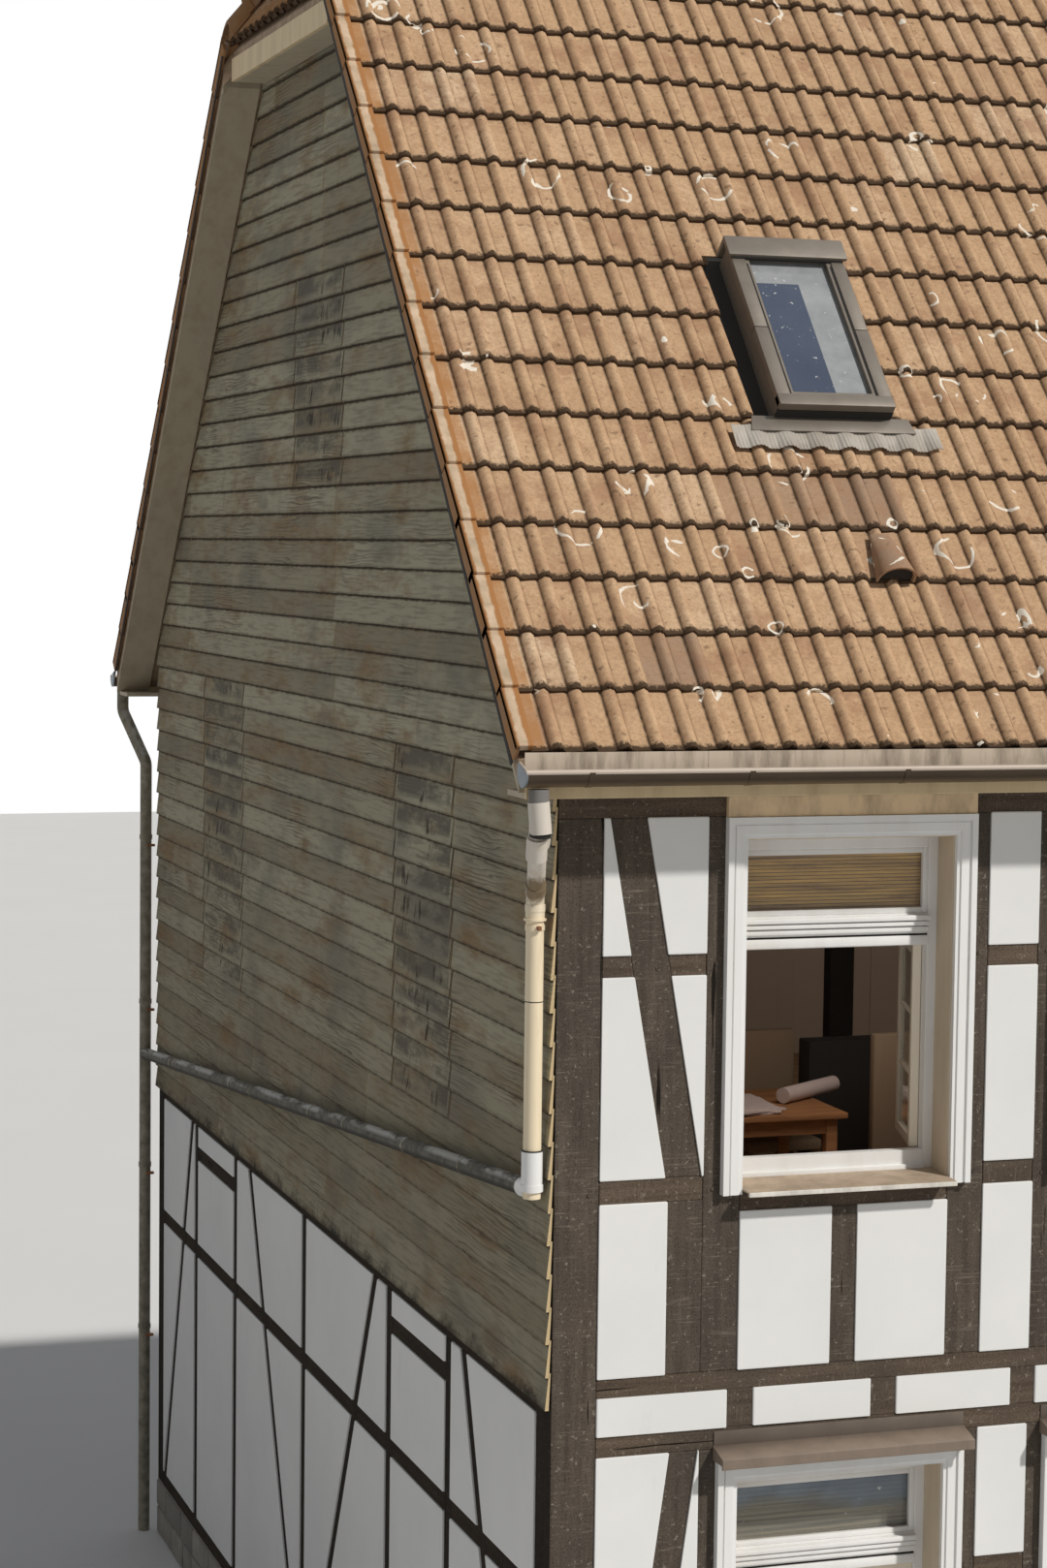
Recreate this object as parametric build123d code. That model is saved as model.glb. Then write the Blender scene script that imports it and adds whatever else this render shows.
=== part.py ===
from build123d import *
import math
import os

# Half-timbered house with two framed storeys, boarded gables and a half-hipped tiled roof.
# Sizes are millimetres. +Z is up and the origin is on the ground at the middle of the plan.
# The front faces -Y, and the gable with the sloping pipe faces -X.

# Plan
house_width = 8200
window_count = 5
window_pitch = 1550
end_window_centre = 1320
wall_thickness = 200

# Levels of the frame, from the ground up
plinth_height = 370
floor_slab_drop = 40
ground_beam_height = 100
ground_storey_clear = 2350
head_plate_height = 90
joist_height = 165
upper_sole_height = 82
upper_storey_clear = 2375
attic_floor_thickness = 110
floor_board_thickness = 35
gable_beam_height = 90

# Timbers
corner_post_width = 200
window_post_width = 170
sill_stud_width = 120
rail_height = 90
sill_rail_height = 100
sill_rail_rise = 68
window_rail_height = 90
mid_rail_drop = 580
narrow_brace_width = 130
wide_brace_width = 165
brace_foot_width = 160
joist_width = 120
joist_pitch = 670
first_joist_centre = 850
joist_count = 12
panel_proud = 8
least_edge = 1

# Front end bays: where each brace meets the beam above, and how far its foot stands from there
upper_brace_top = 25
upper_brace_run = 268
ground_brace_top = 330
ground_brace_run = 322

# Gable ground storey: posts by their distance from the front corner, from the middle and from
# the back corner, and braces by their bay, the lean of their foot and their insets in the bay
gable_post_width = 110
front_post_insets = (1480, 2500)
middle_post_offset = 120
back_post_insets = (2300, 1200)
gable_brace_width = 100
gable_brace_bays = (0, 2, 3, 5)
gable_brace_leans = (-1, 1, -1, 1)
gable_brace_top_insets = (135, 155, 275, 15)
gable_brace_foot_insets = (40, 125, 15, 10)
gable_short_rail_drop = 125
gable_short_rail_bays = (1, 4)

# Windows and door
window_width = 970
window_height = 1501
upper_window_drop = 96
ground_window_drop = 140
casing_width = 92
casing_foot = 15
casing_proud = 40
frame_setback = 150
frame_depth = 50
frame_stile = 50
frame_head = 68
frame_foot = 103
fanlight_height = 286
transom_height = 142
sash_rim = 46
sash_thickness = 40
sash_gap = 0.3
pane_thickness = 8
open_sash_angle = 107
open_window_index = 0
sill_projection = 105
sill_thickness = 23
sill_fall = 16
sill_lip = 14
sill_lip_depth = 18
head_board_height = 90
head_board_proud = 30
canopy_overhang = 13
canopy_projection = 120
canopy_height = 65
canopy_fall = 35
canopy_lip = 14
door_bay_index = 2
door_setback = 90
door_thickness = 60
step_count = 2
step_going = 290
step_width = 1300

# Roof
roof_pitch = 48.5
eaves_overhang = 270
verge_overhang = 250
eaves_above_head = 318
hip_above_eaves = 3600
hip_pitch = 55
tile_thickness = 70
deck_thickness = 70
rafter_depth = 140
rafter_width = 80
rafter_pitch = 720
rafter_bays_before_rooflight = 1.5
rafter_count = 11
ridge_board_thickness = 40
deck_setback = 45
cap_radius = 120
cap_drop = 60
cap_parting = 5
siding_thickness = 35
siding_lap = 35
verge_board_thickness = 22
verge_flange_depth = 130
verge_flange_thickness = 25

# Eaves, gutters and pipes
soffit_above_head = 103
eaves_board_thickness = 25
hip_fascia_height = 125
gutter_radius = 65
gutter_thickness = 4
gutter_rim_above_head = 208
gutter_end_inset = 10
pipe_radius = 38
pipe_wall_gap = 12
pipe_bend_radius = 80
outlet_inset = 57
outlet_drop = 150
near_pipe_inset = 40
far_pipe_offset = 60
neck_fall = 330
link_start_height = 3940
link_fall = 730

# Rooflight and ventilating tile on the front slope
rooflight_width = 560
rooflight_length = 1030
rooflight_centre = 1610
rooflight_up_slope = 1860
rooflight_height = 90
rooflight_rim = 85
rooflight_pane_drop = 30
rooflight_clearance = 5
apron_width = 1010
apron_length = 175
apron_thickness = 12
vent_centre = 1640
vent_up_slope = 870
vent_length = 310
vent_radius = 88
vent_wall = 12

# Values that follow from the ones above
house_length = 2 * end_window_centre + (window_count - 1) * window_pitch
half_length = house_length / 2
half_width = house_width / 2
ground_beam_top = plinth_height + ground_beam_height
step_rise = plinth_height / step_count
ground_head = ground_beam_top + ground_storey_clear
joist_bottom = ground_head + head_plate_height
joist_top = joist_bottom + joist_height
upper_sole_top = joist_top + upper_sole_height
upper_head = upper_sole_top + upper_storey_clear
floor_level = ground_beam_top - floor_slab_drop
gable_head = joist_top - gable_beam_height
slope = math.tan(math.radians(roof_pitch))
slope_cos = math.cos(math.radians(roof_pitch))
hip_slope = math.tan(math.radians(hip_pitch))
hip_cos = math.cos(math.radians(hip_pitch))
eaves_y = half_width + eaves_overhang
verge_x = half_length + verge_overhang
eaves_z = upper_head + eaves_above_head
ridge_z = eaves_z + eaves_y * slope
hip_z = eaves_z + hip_above_eaves
hip_half_width = (ridge_z - hip_z) / slope
apex_x = verge_x - (ridge_z - hip_z) / hip_slope
soffit_z = upper_head + soffit_above_head
deck_bottom = tile_thickness + deck_thickness
rafter_bottom = deck_bottom + rafter_depth
upper_window_top = upper_head - upper_window_drop
ground_window_top = ground_head - ground_window_drop
window_centres = [end_window_centre + i * window_pitch - half_length for i in range(window_count)]
wall_pipe_x = -(half_length + siding_thickness + pipe_wall_gap + pipe_radius)
gutter_y = half_width + eaves_overhang - deck_setback + eaves_board_thickness + gutter_radius
gutter_rim_z = upper_head + gutter_rim_above_head
outlet_x = outlet_inset - verge_x

nodes = {}


def add(name, *solids):
    """Keep solids under the node that they belong to."""
    nodes.setdefault(name, []).extend(solids)


def block(x0, x1, y0, y1, z0, z1):
    """Box between two corners."""
    return Pos((x0 + x1) / 2, (y0 + y1) / 2, (z0 + z1) / 2) * Box(x1 - x0, y1 - y0, z1 - z0)


def upright(outline, y0, y1):
    """Prism of an X-Z outline, from y0 to y1."""
    face = make_face(Polyline(*[(x, y0, z) for x, z in outline], close=True))
    return extrude(face, amount=y1 - y0, dir=(0, 1, 0))


def lengthwise(outline, x0, x1):
    """Prism of a Y-Z outline, from x0 to x1."""
    face = make_face(Polyline(*[(x0, y, z) for y, z in outline], close=True))
    return extrude(face, amount=x1 - x0, dir=(1, 0, 0))


def flat_prism(outline, z0, z1):
    """Prism of a plan outline, from z0 to z1."""
    face = make_face(Polyline(*[(x, y, z0) for x, y in outline], close=True))
    return extrude(face, amount=z1 - z0, dir=(0, 0, 1))


# Each wall is set out in its own plane: x along it as seen from outside, its face at y = 0.
wall_places = {
    "front": Pos(0, -half_width, 0),
    "back": Pos(0, half_width, 0) * Rot(0, 0, 180),
    "left": Pos(-half_length, 0, 0) * Rot(0, 0, -90),
    "right": Pos(half_length, 0, 0) * Rot(0, 0, 90),
}


def timber(outline):
    """Frame member as deep as the wall."""
    return upright(outline, 0, wall_thickness)


def panel(outline):
    """Plastered infill, a little proud of the timbers."""
    return upright(outline, -panel_proud, wall_thickness)


def corners(outline):
    """The outline without points that fall together where a brace meets a post."""
    return [p for i, p in enumerate(outline) if math.dist(p, outline[i - 1]) > least_edge]


def oblong(x0, x1, z0, z1):
    return [(x0, z0), (x1, z0), (x1, z1), (x0, z1)]


def flipped(outline, flip):
    """The same outline, mirrored about the wall's middle where flip is true."""
    return [(-x, z) for x, z in outline] if flip else outline


class Brace:
    """Raking timber between two levels, given by its left edge."""

    def __init__(self, top_x, run, width, bottom, top):
        self.top_x = top_x
        self.run = run
        self.width = width
        self.bottom = bottom
        self.top = top

    def edge(self, z):
        return self.top_x + self.run * (self.top - z) / (self.top - self.bottom)

    def outline(self):
        low = self.edge(self.bottom)
        high = self.edge(self.top)
        return [(low, self.bottom), (low + self.width, self.bottom),
                (high + self.width, self.top), (high, self.top)]


def strip(left, right, z0, z1, brace):
    """Outlines of one level of a bay, parted by the brace where there is one."""
    if brace is None:
        return [oblong(left, right, z0, z1)]
    low = brace.edge(z0)
    high = brace.edge(z1)
    before = [(left, z0), (low, z0), (high, z1), (left, z1)]
    after = [(low + brace.width, z0), (right, z0), (right, z1), (high + brace.width, z1)]
    return [before, after]


def bay(left, right, bottom, top, rails, brace=None):
    """Rails and panels of one bay between two posts."""
    rail_outlines = []
    panel_outlines = []
    level = bottom
    for rail_bottom, rail_top in rails:
        if rail_bottom > level:
            panel_outlines += strip(left, right, level, rail_bottom, brace)
        rail_outlines += strip(left, right, rail_bottom, rail_top, brace)
        level = rail_top
    panel_outlines += strip(left, right, level, top, brace)
    return rail_outlines, panel_outlines


def put(side, kind, make, outlines, flip=False):
    """Add wall pieces of one kind: panels are kept wall by wall, timbers together."""
    wall = "gable" if side in ("left", "right") else side
    name = f"{wall}_panels" if kind == "panels" else f"frame_{kind}"
    for outline in outlines:
        shape = corners(flipped(outline, flip))
        if len(shape) > 2:
            add(name, wall_places[side] * make(shape))


def storey_rails(head, window_top):
    """Levels of the sill rail and the mid rail of one storey."""
    sill_top = window_top - window_height + sill_rail_rise
    mid_top = head - mid_rail_drop
    return [(sill_top - sill_rail_height, sill_top), (mid_top - rail_height, mid_top)]


def opening_posts(side, centre, sole, head, top):
    """Posts beside an opening and the rail above it."""
    inner = window_width / 2
    outer = inner + window_post_width
    put(side, "posts", timber, [
        oblong(centre - outer, centre - inner, sole, head),
        oblong(centre + inner, centre + outer, sole, head),
    ])
    put(side, "rails", timber, [oblong(centre - inner, centre + inner, top, head)])


def window_bay(side, centre, sole, head, window_top):
    """Posts, rails, stud and panels round one window."""
    opening_posts(side, centre, sole, head, window_top)
    inner = window_width / 2
    stud = sill_stud_width / 2
    rail_top = window_top - window_height
    rail_bottom = rail_top - window_rail_height
    put(side, "posts", timber, [oblong(centre - stud, centre + stud, sole, rail_bottom)])
    put(side, "rails", timber, [oblong(centre - inner, centre + inner, rail_bottom, rail_top)])
    put(side, "panels", panel, [
        oblong(centre - inner, centre - stud, sole, rail_bottom),
        oblong(centre + stud, centre + inner, sole, rail_bottom),
    ])


def end_bays(side, sole, head, window_top, upper):
    """The braced bay beside each corner, the second one mirrored."""
    left = corner_post_width - half_length
    right = window_centres[0] - window_width / 2 - window_post_width
    rails = storey_rails(head, window_top)
    sill_bottom, sill_top = rails[0]
    for flip in (False, True):
        if upper:
            brace = Brace(left + upper_brace_top, upper_brace_run, wide_brace_width, sill_top, head)
            foot = right - brace_foot_width
            rail_outlines, panel_outlines = bay(left, right, sill_top, head, rails[1:], brace)
            rail_outlines.append(oblong(left, right, sill_bottom, sill_top))
            panel_outlines.append(oblong(left, foot, sole, sill_bottom))
            put(side, "braces", timber, [oblong(foot, right, sole, sill_bottom)], flip)
        else:
            brace = Brace(left + ground_brace_top, -ground_brace_run, narrow_brace_width, sole, head)
            rail_outlines, panel_outlines = bay(left, right, sole, head, rails, brace)
        put(side, "braces", timber, [brace.outline()], flip)
        put(side, "rails", timber, rail_outlines, flip)
        put(side, "panels", panel, panel_outlines, flip)


def long_storey(side, sole, head, window_top, upper):
    """One storey of the front or back wall, between its corner posts."""
    outer = window_width / 2 + window_post_width
    for i, centre in enumerate(window_centres):
        if has_door(side, upper, i):
            opening_posts(side, centre, sole, head, window_top)
        else:
            window_bay(side, centre, sole, head, window_top)
    for near, far in zip(window_centres, window_centres[1:]):
        rail_outlines, panel_outlines = bay(near + outer, far - outer, sole, head,
                                            storey_rails(head, window_top))
        put(side, "rails", timber, rail_outlines)
        put(side, "panels", panel, panel_outlines)
    end_bays(side, sole, head, window_top, upper)


def has_door(side, upper, index):
    """Whether this bay of a long wall holds the door instead of a window."""
    return side == "back" and not upper and index == door_bay_index


def joist_centres():
    return [first_joist_centre + i * joist_pitch - half_length for i in range(joist_count)]


def joist_band(side):
    """Panels between the joist ends."""
    edge = half_length - corner_post_width
    starts = [-edge] + [c + joist_width / 2 for c in joist_centres()]
    ends = [c - joist_width / 2 for c in joist_centres()] + [edge]
    outlines = [oblong(a, b, joist_bottom, joist_top) for a, b in zip(starts, ends)]
    put(side, "panels", panel, outlines, side == "back")


def long_wall(side):
    """Front or back wall: beams between the corner posts and two storeys of framing."""
    edge = half_length - corner_post_width
    put(side, "posts", timber, [
        oblong(-half_length, -edge, plinth_height, upper_head),
        oblong(edge, half_length, plinth_height, upper_head),
    ])
    put(side, "beams", timber, [
        oblong(-edge, edge, plinth_height, ground_beam_top),
        oblong(-edge, edge, ground_head, joist_bottom),
        oblong(-edge, edge, joist_top, upper_sole_top),
    ])
    long_storey(side, ground_beam_top, ground_head, ground_window_top, False)
    long_storey(side, upper_sole_top, upper_head, upper_window_top, True)
    joist_band(side)


def gable_braces(lefts, rights, sole, head):
    """Braces of a gable by the bay that each stands in. A foot leans to the back where its lean is 1."""
    braces = {}
    rows = zip(gable_brace_bays, gable_brace_leans, gable_brace_top_insets, gable_brace_foot_insets)
    for index, lean, top_inset, foot_inset in rows:
        clear = rights[index] - lefts[index] - gable_brace_width
        run = clear - top_inset - foot_inset
        top = clear - top_inset if lean > 0 else top_inset
        braces[index] = Brace(lefts[index] + top, -lean * run, gable_brace_width, sole, head)
    return braces


def gable_storey(side):
    """Framed ground storey of a gable. Bays are counted from the front corner."""
    sole = ground_beam_top
    head = gable_head
    half_post = gable_post_width / 2
    inner = half_width - wall_thickness
    flip = side == "right"
    centres = [half_width - inset for inset in front_post_insets]
    centres += [-middle_post_offset] + [inset - half_width for inset in back_post_insets]
    put(side, "beams", timber, [
        oblong(-inner, inner, plinth_height, sole),
        oblong(-inner, inner, head, joist_top),
    ])
    put(side, "posts", timber, [oblong(c - half_post, c + half_post, sole, head) for c in centres], flip)
    rights = [inner] + [c - half_post for c in centres]
    lefts = [c + half_post for c in centres] + [-inner]
    mid_top = ground_head - mid_rail_drop
    short_top = head - gable_short_rail_drop
    braces = gable_braces(lefts, rights, sole, head)
    for i, (left, right) in enumerate(zip(lefts, rights)):
        rails = [(mid_top - rail_height, mid_top)]
        if i in gable_short_rail_bays:
            rails.append((short_top - rail_height, short_top))
        brace = braces.get(i)
        rail_outlines, panel_outlines = bay(left, right, sole, head, rails, brace)
        put(side, "rails", timber, rail_outlines, flip)
        put(side, "panels", panel, panel_outlines, flip)
        if brace:
            put(side, "braces", timber, [brace.outline()], flip)


def plinth():
    """Masonry base: long walls on the front and back, gable walls between them."""
    inner_y = half_width - wall_thickness
    inner_x = half_length - wall_thickness
    for side in (-1, 1):
        y0, y1 = sorted((side * inner_y, side * half_width))
        add("long_plinths", block(-half_length, half_length, y0, y1, 0, plinth_height))
        x0, x1 = sorted((side * inner_x, side * half_length))
        add("gable_plinths", block(x0, x1, -inner_y, inner_y, 0, plinth_height))


def floors():
    """Ground slab, joists from front to back with their ends in the walls, and board floors."""
    x = half_length - wall_thickness
    y = half_width - wall_thickness
    add("ground_floor", block(-x, x, -y, y, 0, floor_level))
    for centre in joist_centres():
        half = joist_width / 2
        add("floor_joists", block(centre - half, centre + half, -half_width, half_width,
                                  joist_bottom, joist_top))
    add("upper_floor", block(-x, x, -y, y, joist_top, joist_top + floor_board_thickness))
    add("attic_floor", block(-x, x, -y, y, upper_head, upper_head + attic_floor_thickness))


def under_roof(depth):
    """Everything below the four roof planes, moved down square to each of them."""
    top = ridge_z - depth / slope_cos
    reach = top / slope
    profile = lengthwise([(-reach, 0), (reach, 0), (0, top)], -2 * verge_x, 2 * verge_x)
    hip_top = hip_z - depth / hip_cos + verge_x * hip_slope
    hip_reach = hip_top / hip_slope
    ends = upright([(-hip_reach, 0), (hip_reach, 0), (0, hip_top)], -2 * eaves_y, 2 * eaves_y)
    return profile & ends


def slope_plan(side, y_edge):
    """Plan of a main slope up to the ridge and the hips: side is -1 for the front."""
    return [(-verge_x, side * y_edge), (verge_x, side * y_edge), (verge_x, side * hip_half_width),
            (apex_x, 0), (-apex_x, 0), (-verge_x, side * hip_half_width)]


def hip_plan(side, x_edge):
    """Plan of a half-hip, cut back to x_edge at its eaves."""
    cut = hip_half_width * (x_edge - apex_x) / (verge_x - apex_x)
    return [(side * x_edge, -cut), (side * x_edge, cut), (side * apex_x, 0)]


def on_slope(from_corner, up_slope, height):
    """Place on the front slope: x along the eaves, y up the slope, z square to it."""
    rise = math.sin(math.radians(roof_pitch))
    origin = Vector(from_corner - half_length, -eaves_y, eaves_z)
    up = Vector(0, slope_cos, rise)
    normal = Vector(0, -rise, slope_cos)
    return Plane(origin=origin + up * up_slope + normal * height, x_dir=(1, 0, 0), z_dir=normal).location


def rooflight_place(height):
    return on_slope(rooflight_centre, rooflight_up_slope + rooflight_length / 2, height)


def roof():
    """Tile layers and board decks of the slopes and half-hips, cut to meet at the hips."""
    tiles = under_roof(0) - under_roof(tile_thickness)
    deck = under_roof(tile_thickness) - under_roof(deck_bottom)
    gap = 2 * rooflight_clearance
    hole = rooflight_place(0) * Box(rooflight_width + gap, rooflight_length + gap, 4 * deck_bottom)
    tall = 2 * ridge_z
    for layer, kind, setback in ((tiles, "tiles", 0), (deck, "deck", deck_setback)):
        for side, name in ((-1, "front"), (1, "back")):
            solid = layer & flat_prism(slope_plan(side, eaves_y - setback), 0, tall)
            add(f"{name}_{kind}", solid - hole if side < 0 else solid)
        for side in (-1, 1):
            add(f"hip_{kind}", layer & flat_prism(hip_plan(side, verge_x - setback), 0, tall))


def rafter_outline():
    """Front rafter seen from the gable: plumb ends, its foot cut level on the soffit."""
    top = ridge_z - deck_bottom / slope_cos
    low = ridge_z - rafter_bottom / slope_cos
    tail = eaves_y - deck_setback
    foot = soffit_z + eaves_board_thickness
    head = ridge_board_thickness / 2
    return [(-tail, foot), (-tail, top - tail * slope), (-head, top - head * slope),
            (-head, low - head * slope), (-(low - foot) / slope, foot)]


def roof_frame():
    """Rafters spaced to pass the rooflight, the ridge board and the plates below."""
    room = under_roof(deck_bottom)
    first = rooflight_centre - half_length - rafter_bays_before_rooflight * rafter_pitch
    for i in range(rafter_count):
        left = first + i * rafter_pitch - rafter_width / 2
        front = lengthwise(rafter_outline(), left, left + rafter_width)
        add("rafters", front & room, mirror(front, about=Plane.XZ) & room)
    half = ridge_board_thickness / 2
    bottom = ridge_z - (rafter_bottom + rafter_depth) / slope_cos
    add("roof_beams", block(-apex_x, apex_x, -half, half, bottom, ridge_z) & room)
    below = under_roof(rafter_bottom)
    for side in (-1, 1):
        y0, y1 = sorted((side * half_width, side * (half_width - wall_thickness)))
        add("roof_beams", block(-half_length, half_length, y0, y1, upper_head, ridge_z) & below)


def gable_walls():
    """Closed upper gables and the boarding on them, both up to the roof boards."""
    room = under_roof(deck_bottom)
    inner = half_width - wall_thickness
    for side in (-1, 1):
        x0, x1 = sorted((side * half_length, side * (half_length - wall_thickness)))
        add("gable_walls", block(x0, x1, -inner, inner, joist_top, ridge_z) & room)
        x0, x1 = sorted((side * half_length, side * (half_length + siding_thickness)))
        add("gable_siding", block(x0, x1, -half_width, half_width, joist_top - siding_lap, ridge_z) & room)


def half_disc(radius):
    """Lower half of a disc."""
    return Circle(radius) & Pos(0, -radius / 2) * Rectangle(2 * radius, radius)


def gutters():
    """Half-round gutters along both eaves, with closed ends."""
    length = 2 * (verge_x - gutter_end_inset)
    trough = half_disc(gutter_radius) - Circle(gutter_radius - gutter_thickness)
    for side in (-1, 1):
        place = Plane(origin=(-length / 2, side * gutter_y, gutter_rim_z), x_dir=(0, 1, 0), z_dir=(1, 0, 0))
        body = extrude(place * trough, amount=length)
        end = extrude(place * half_disc(gutter_radius), amount=gutter_thickness)
        add("gutters", body + end + Pos(length - gutter_thickness, 0, 0) * end)


def pipe(points, bend=0):
    """Round pipe along straight runs, with bends between them."""
    path = FilletPolyline(*points, radius=bend) if bend else Line(*points)
    section = Plane(origin=path @ 0, z_dir=path % 0) * Circle(pipe_radius)
    return sweep(section, path=path)


def downpipes():
    """Near pipe from the front gutter, far pipe from the back one, and the link between them."""
    outlet_z = gutter_rim_z - gutter_radius
    bend_z = outlet_z - outlet_drop
    near_y = near_pipe_inset - half_width
    far_y = half_width + far_pipe_offset
    link_z = link_start_height + pipe_radius
    near = pipe([(outlet_x, -gutter_y, outlet_z), (outlet_x, -gutter_y, bend_z),
                 (wall_pipe_x, near_y, bend_z - neck_fall),
                 (wall_pipe_x, near_y, link_start_height)], pipe_bend_radius)
    far = pipe([(outlet_x, gutter_y, outlet_z), (outlet_x, gutter_y, bend_z),
                (wall_pipe_x, far_y, bend_z - neck_fall), (wall_pipe_x, far_y, 0)], pipe_bend_radius)
    add("near_downpipe", near)
    add("far_downpipe", far)
    link = pipe([(wall_pipe_x, near_y, link_z), (wall_pipe_x, far_y, link_z - link_fall)])
    add("link_pipe", link - near - far)


def eaves_boxes():
    """Level soffits and upright fascias round the rafter feet and below the half-hips."""
    inner = eaves_y - deck_setback
    x = verge_x - verge_flange_thickness
    for side in (-1, 1):
        y0, y1 = sorted((side * half_width, side * inner))
        add("soffits", block(-x, x, y0, y1, soffit_z, soffit_z + eaves_board_thickness))
        y0, y1 = sorted((side * inner, side * (inner + eaves_board_thickness)))
        add("fascias", block(-x, x, y0, y1, soffit_z, gutter_rim_z - gutter_thickness))
        hip_eaves(side)


def hip_eaves(side):
    """Level soffit and fascia below one half-hip."""
    edge = verge_x - deck_setback
    bottom = hip_z + deck_setback * hip_slope - deck_bottom / hip_cos - 2 * eaves_board_thickness
    top = bottom + hip_fascia_height
    reach = (ridge_z - (deck_bottom + verge_board_thickness) / slope_cos - top) / slope
    x0, x1 = sorted((side * edge, side * (edge + eaves_board_thickness)))
    add("fascias", block(x0, x1, -reach, reach, bottom, top))
    x0, x1 = sorted((side * (half_length + siding_thickness), side * edge))
    add("soffits", block(x0, x1, -reach, reach, bottom, bottom + eaves_board_thickness))


def verges():
    """Boards under the overhang at both gables, and the flange outside them."""
    skin = under_roof(deck_bottom) - under_roof(deck_bottom + verge_board_thickness)
    flange = under_roof(0) - under_roof(verge_flange_depth)
    bottom = soffit_z + eaves_board_thickness
    for x_side in (-1, 1):
        for y_side in (-1, 1):
            x0, x1 = sorted((x_side * (half_length + siding_thickness), x_side * verge_x))
            y0, y1 = sorted((y_side * (eaves_y - deck_setback), y_side * hip_half_width))
            add("verge_boards", skin & block(x0, x1, y0, y1, bottom, ridge_z))
            x0, x1 = sorted((x_side * verge_x, x_side * (verge_x + verge_flange_thickness)))
            y0, y1 = sorted((y_side * eaves_y, y_side * hip_half_width))
            add("verge_flanges", flange & block(x0, x1, y0, y1, 0, 2 * ridge_z))


def cap_along(start, end):
    """Line of round caps along a ridge or hip, lying on the tiles."""
    run = Vector(*end) - Vector(*start)
    bar = extrude(Plane(origin=start, z_dir=run) * Circle(cap_radius), amount=run.length)
    return Pos(0, 0, -cap_drop) * bar - under_roof(0)


def caps():
    """Ridge caps, and hip caps parted at the ridge."""
    add("ridge_caps", cap_along((-apex_x, 0, ridge_z), (apex_x, 0, ridge_z)))
    for x_side in (-1, 1):
        for y_side in (-1, 1):
            bar = cap_along((x_side * verge_x, y_side * hip_half_width, hip_z), (x_side * apex_x, 0, ridge_z))
            x0, x1 = sorted((x_side * apex_x, x_side * verge_x))
            y0, y1 = sorted((y_side * cap_parting, y_side * house_width))
            add("hip_caps", bar & block(x0, x1, y0, y1, 0, 2 * ridge_z))


def leaf_pair(opened):
    """Places of a window's two sashes, left and right, on their hinges."""
    half = window_width / 2 - frame_stile
    turn = open_sash_angle if opened else 0
    back = frame_setback + frame_depth
    return [(Pos(-half, back, 0) * Rot(0, 0, turn), 1), (Pos(half, back, 0) * Rot(0, 0, -turn), -1)]


def sash(height):
    """Sash hung on the axis at the origin, reaching +X, its inner face at y = 0, and its pane."""
    width = window_width / 2 - frame_stile - sash_gap / 2
    inner = block(sash_rim, width - sash_rim, -sash_thickness, 0, sash_rim, height - sash_rim)
    rim = block(sash_gap, width, -sash_thickness, 0, sash_gap, height - sash_gap) - inner
    middle = -sash_thickness / 2
    pane = block(sash_rim, width - sash_rim, middle - pane_thickness, middle, sash_rim, height - sash_rim)
    return rim, pane


def window_frame(place, top):
    """Stiles, head, transom and foot of a window, its fanlight and its sill. Gives the sash's foot."""
    half = window_width / 2
    clear = half - frame_stile
    y0 = frame_setback
    y1 = frame_setback + frame_depth
    bottom = top - window_height
    add("window_stiles", place * block(-half, -clear, y0, y1, bottom, top))
    add("window_stiles", place * block(clear, half, y0, y1, bottom, top))
    fan_top = top - frame_head
    fan_bottom = fan_top - fanlight_height
    for z0, z1 in ((fan_top, top), (fan_bottom - transom_height, fan_bottom), (bottom, bottom + frame_foot)):
        add("window_rails", place * block(-clear, clear, y0, y1, z0, z1))
    middle = (y0 + y1) / 2
    add("window_panes", place * block(-clear, clear, middle, middle + pane_thickness, fan_bottom, fan_top))
    front = -sill_projection
    nose = [(y0, 0), (y0, sill_thickness), (front, sill_thickness - sill_fall), (front, -sill_lip),
            (front + sill_lip_depth, -sill_lip), (front + sill_lip_depth, 0)]
    add("window_sills", place * Pos(0, 0, bottom) * lengthwise(nose, -half, half))
    return bottom + frame_foot, fan_bottom - transom_height


def window(side, centre, top, upper, opened):
    """One window with its casing, frame, sashes and what is above it."""
    place = wall_places[side] * Pos(centre, 0, 0)
    foot, head = window_frame(place, top)
    rim, pane = sash(head - foot)
    for hinge, hand in leaf_pair(opened):
        at = place * Pos(0, 0, foot) * hinge
        add("window_sashes", at * (rim if hand > 0 else mirror(rim, about=Plane.YZ)))
        add("window_panes", at * (pane if hand > 0 else mirror(pane, about=Plane.YZ)))
    half = window_width / 2
    outer = half + casing_width
    crown = top + casing_width
    low = top - window_height - casing_foot
    casing = [(-outer, low), (-half, low), (-half, top), (half, top), (half, low), (outer, low),
              (outer, crown), (-outer, crown)]
    add("window_casings", place * upright(casing, -casing_proud, 0))
    if upper:
        board = oblong(-outer, outer, crown, crown + head_board_height)
        add("window_heads", place * upright(board, -head_board_proud, 0))
    else:
        add("window_heads", place * Pos(0, 0, crown) * canopy())


def canopy():
    """Sloping metal hood over a ground-floor window, its front edge turned down."""
    front = -canopy_projection
    edge = canopy_height - canopy_fall
    profile = [(0, 0), (0, canopy_height), (front, edge), (front, -canopy_lip),
               (front + canopy_lip, -canopy_lip), (front + canopy_lip, 0)]
    half = window_width / 2 + casing_width + canopy_overhang
    return lengthwise(profile, -half, half)


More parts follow.
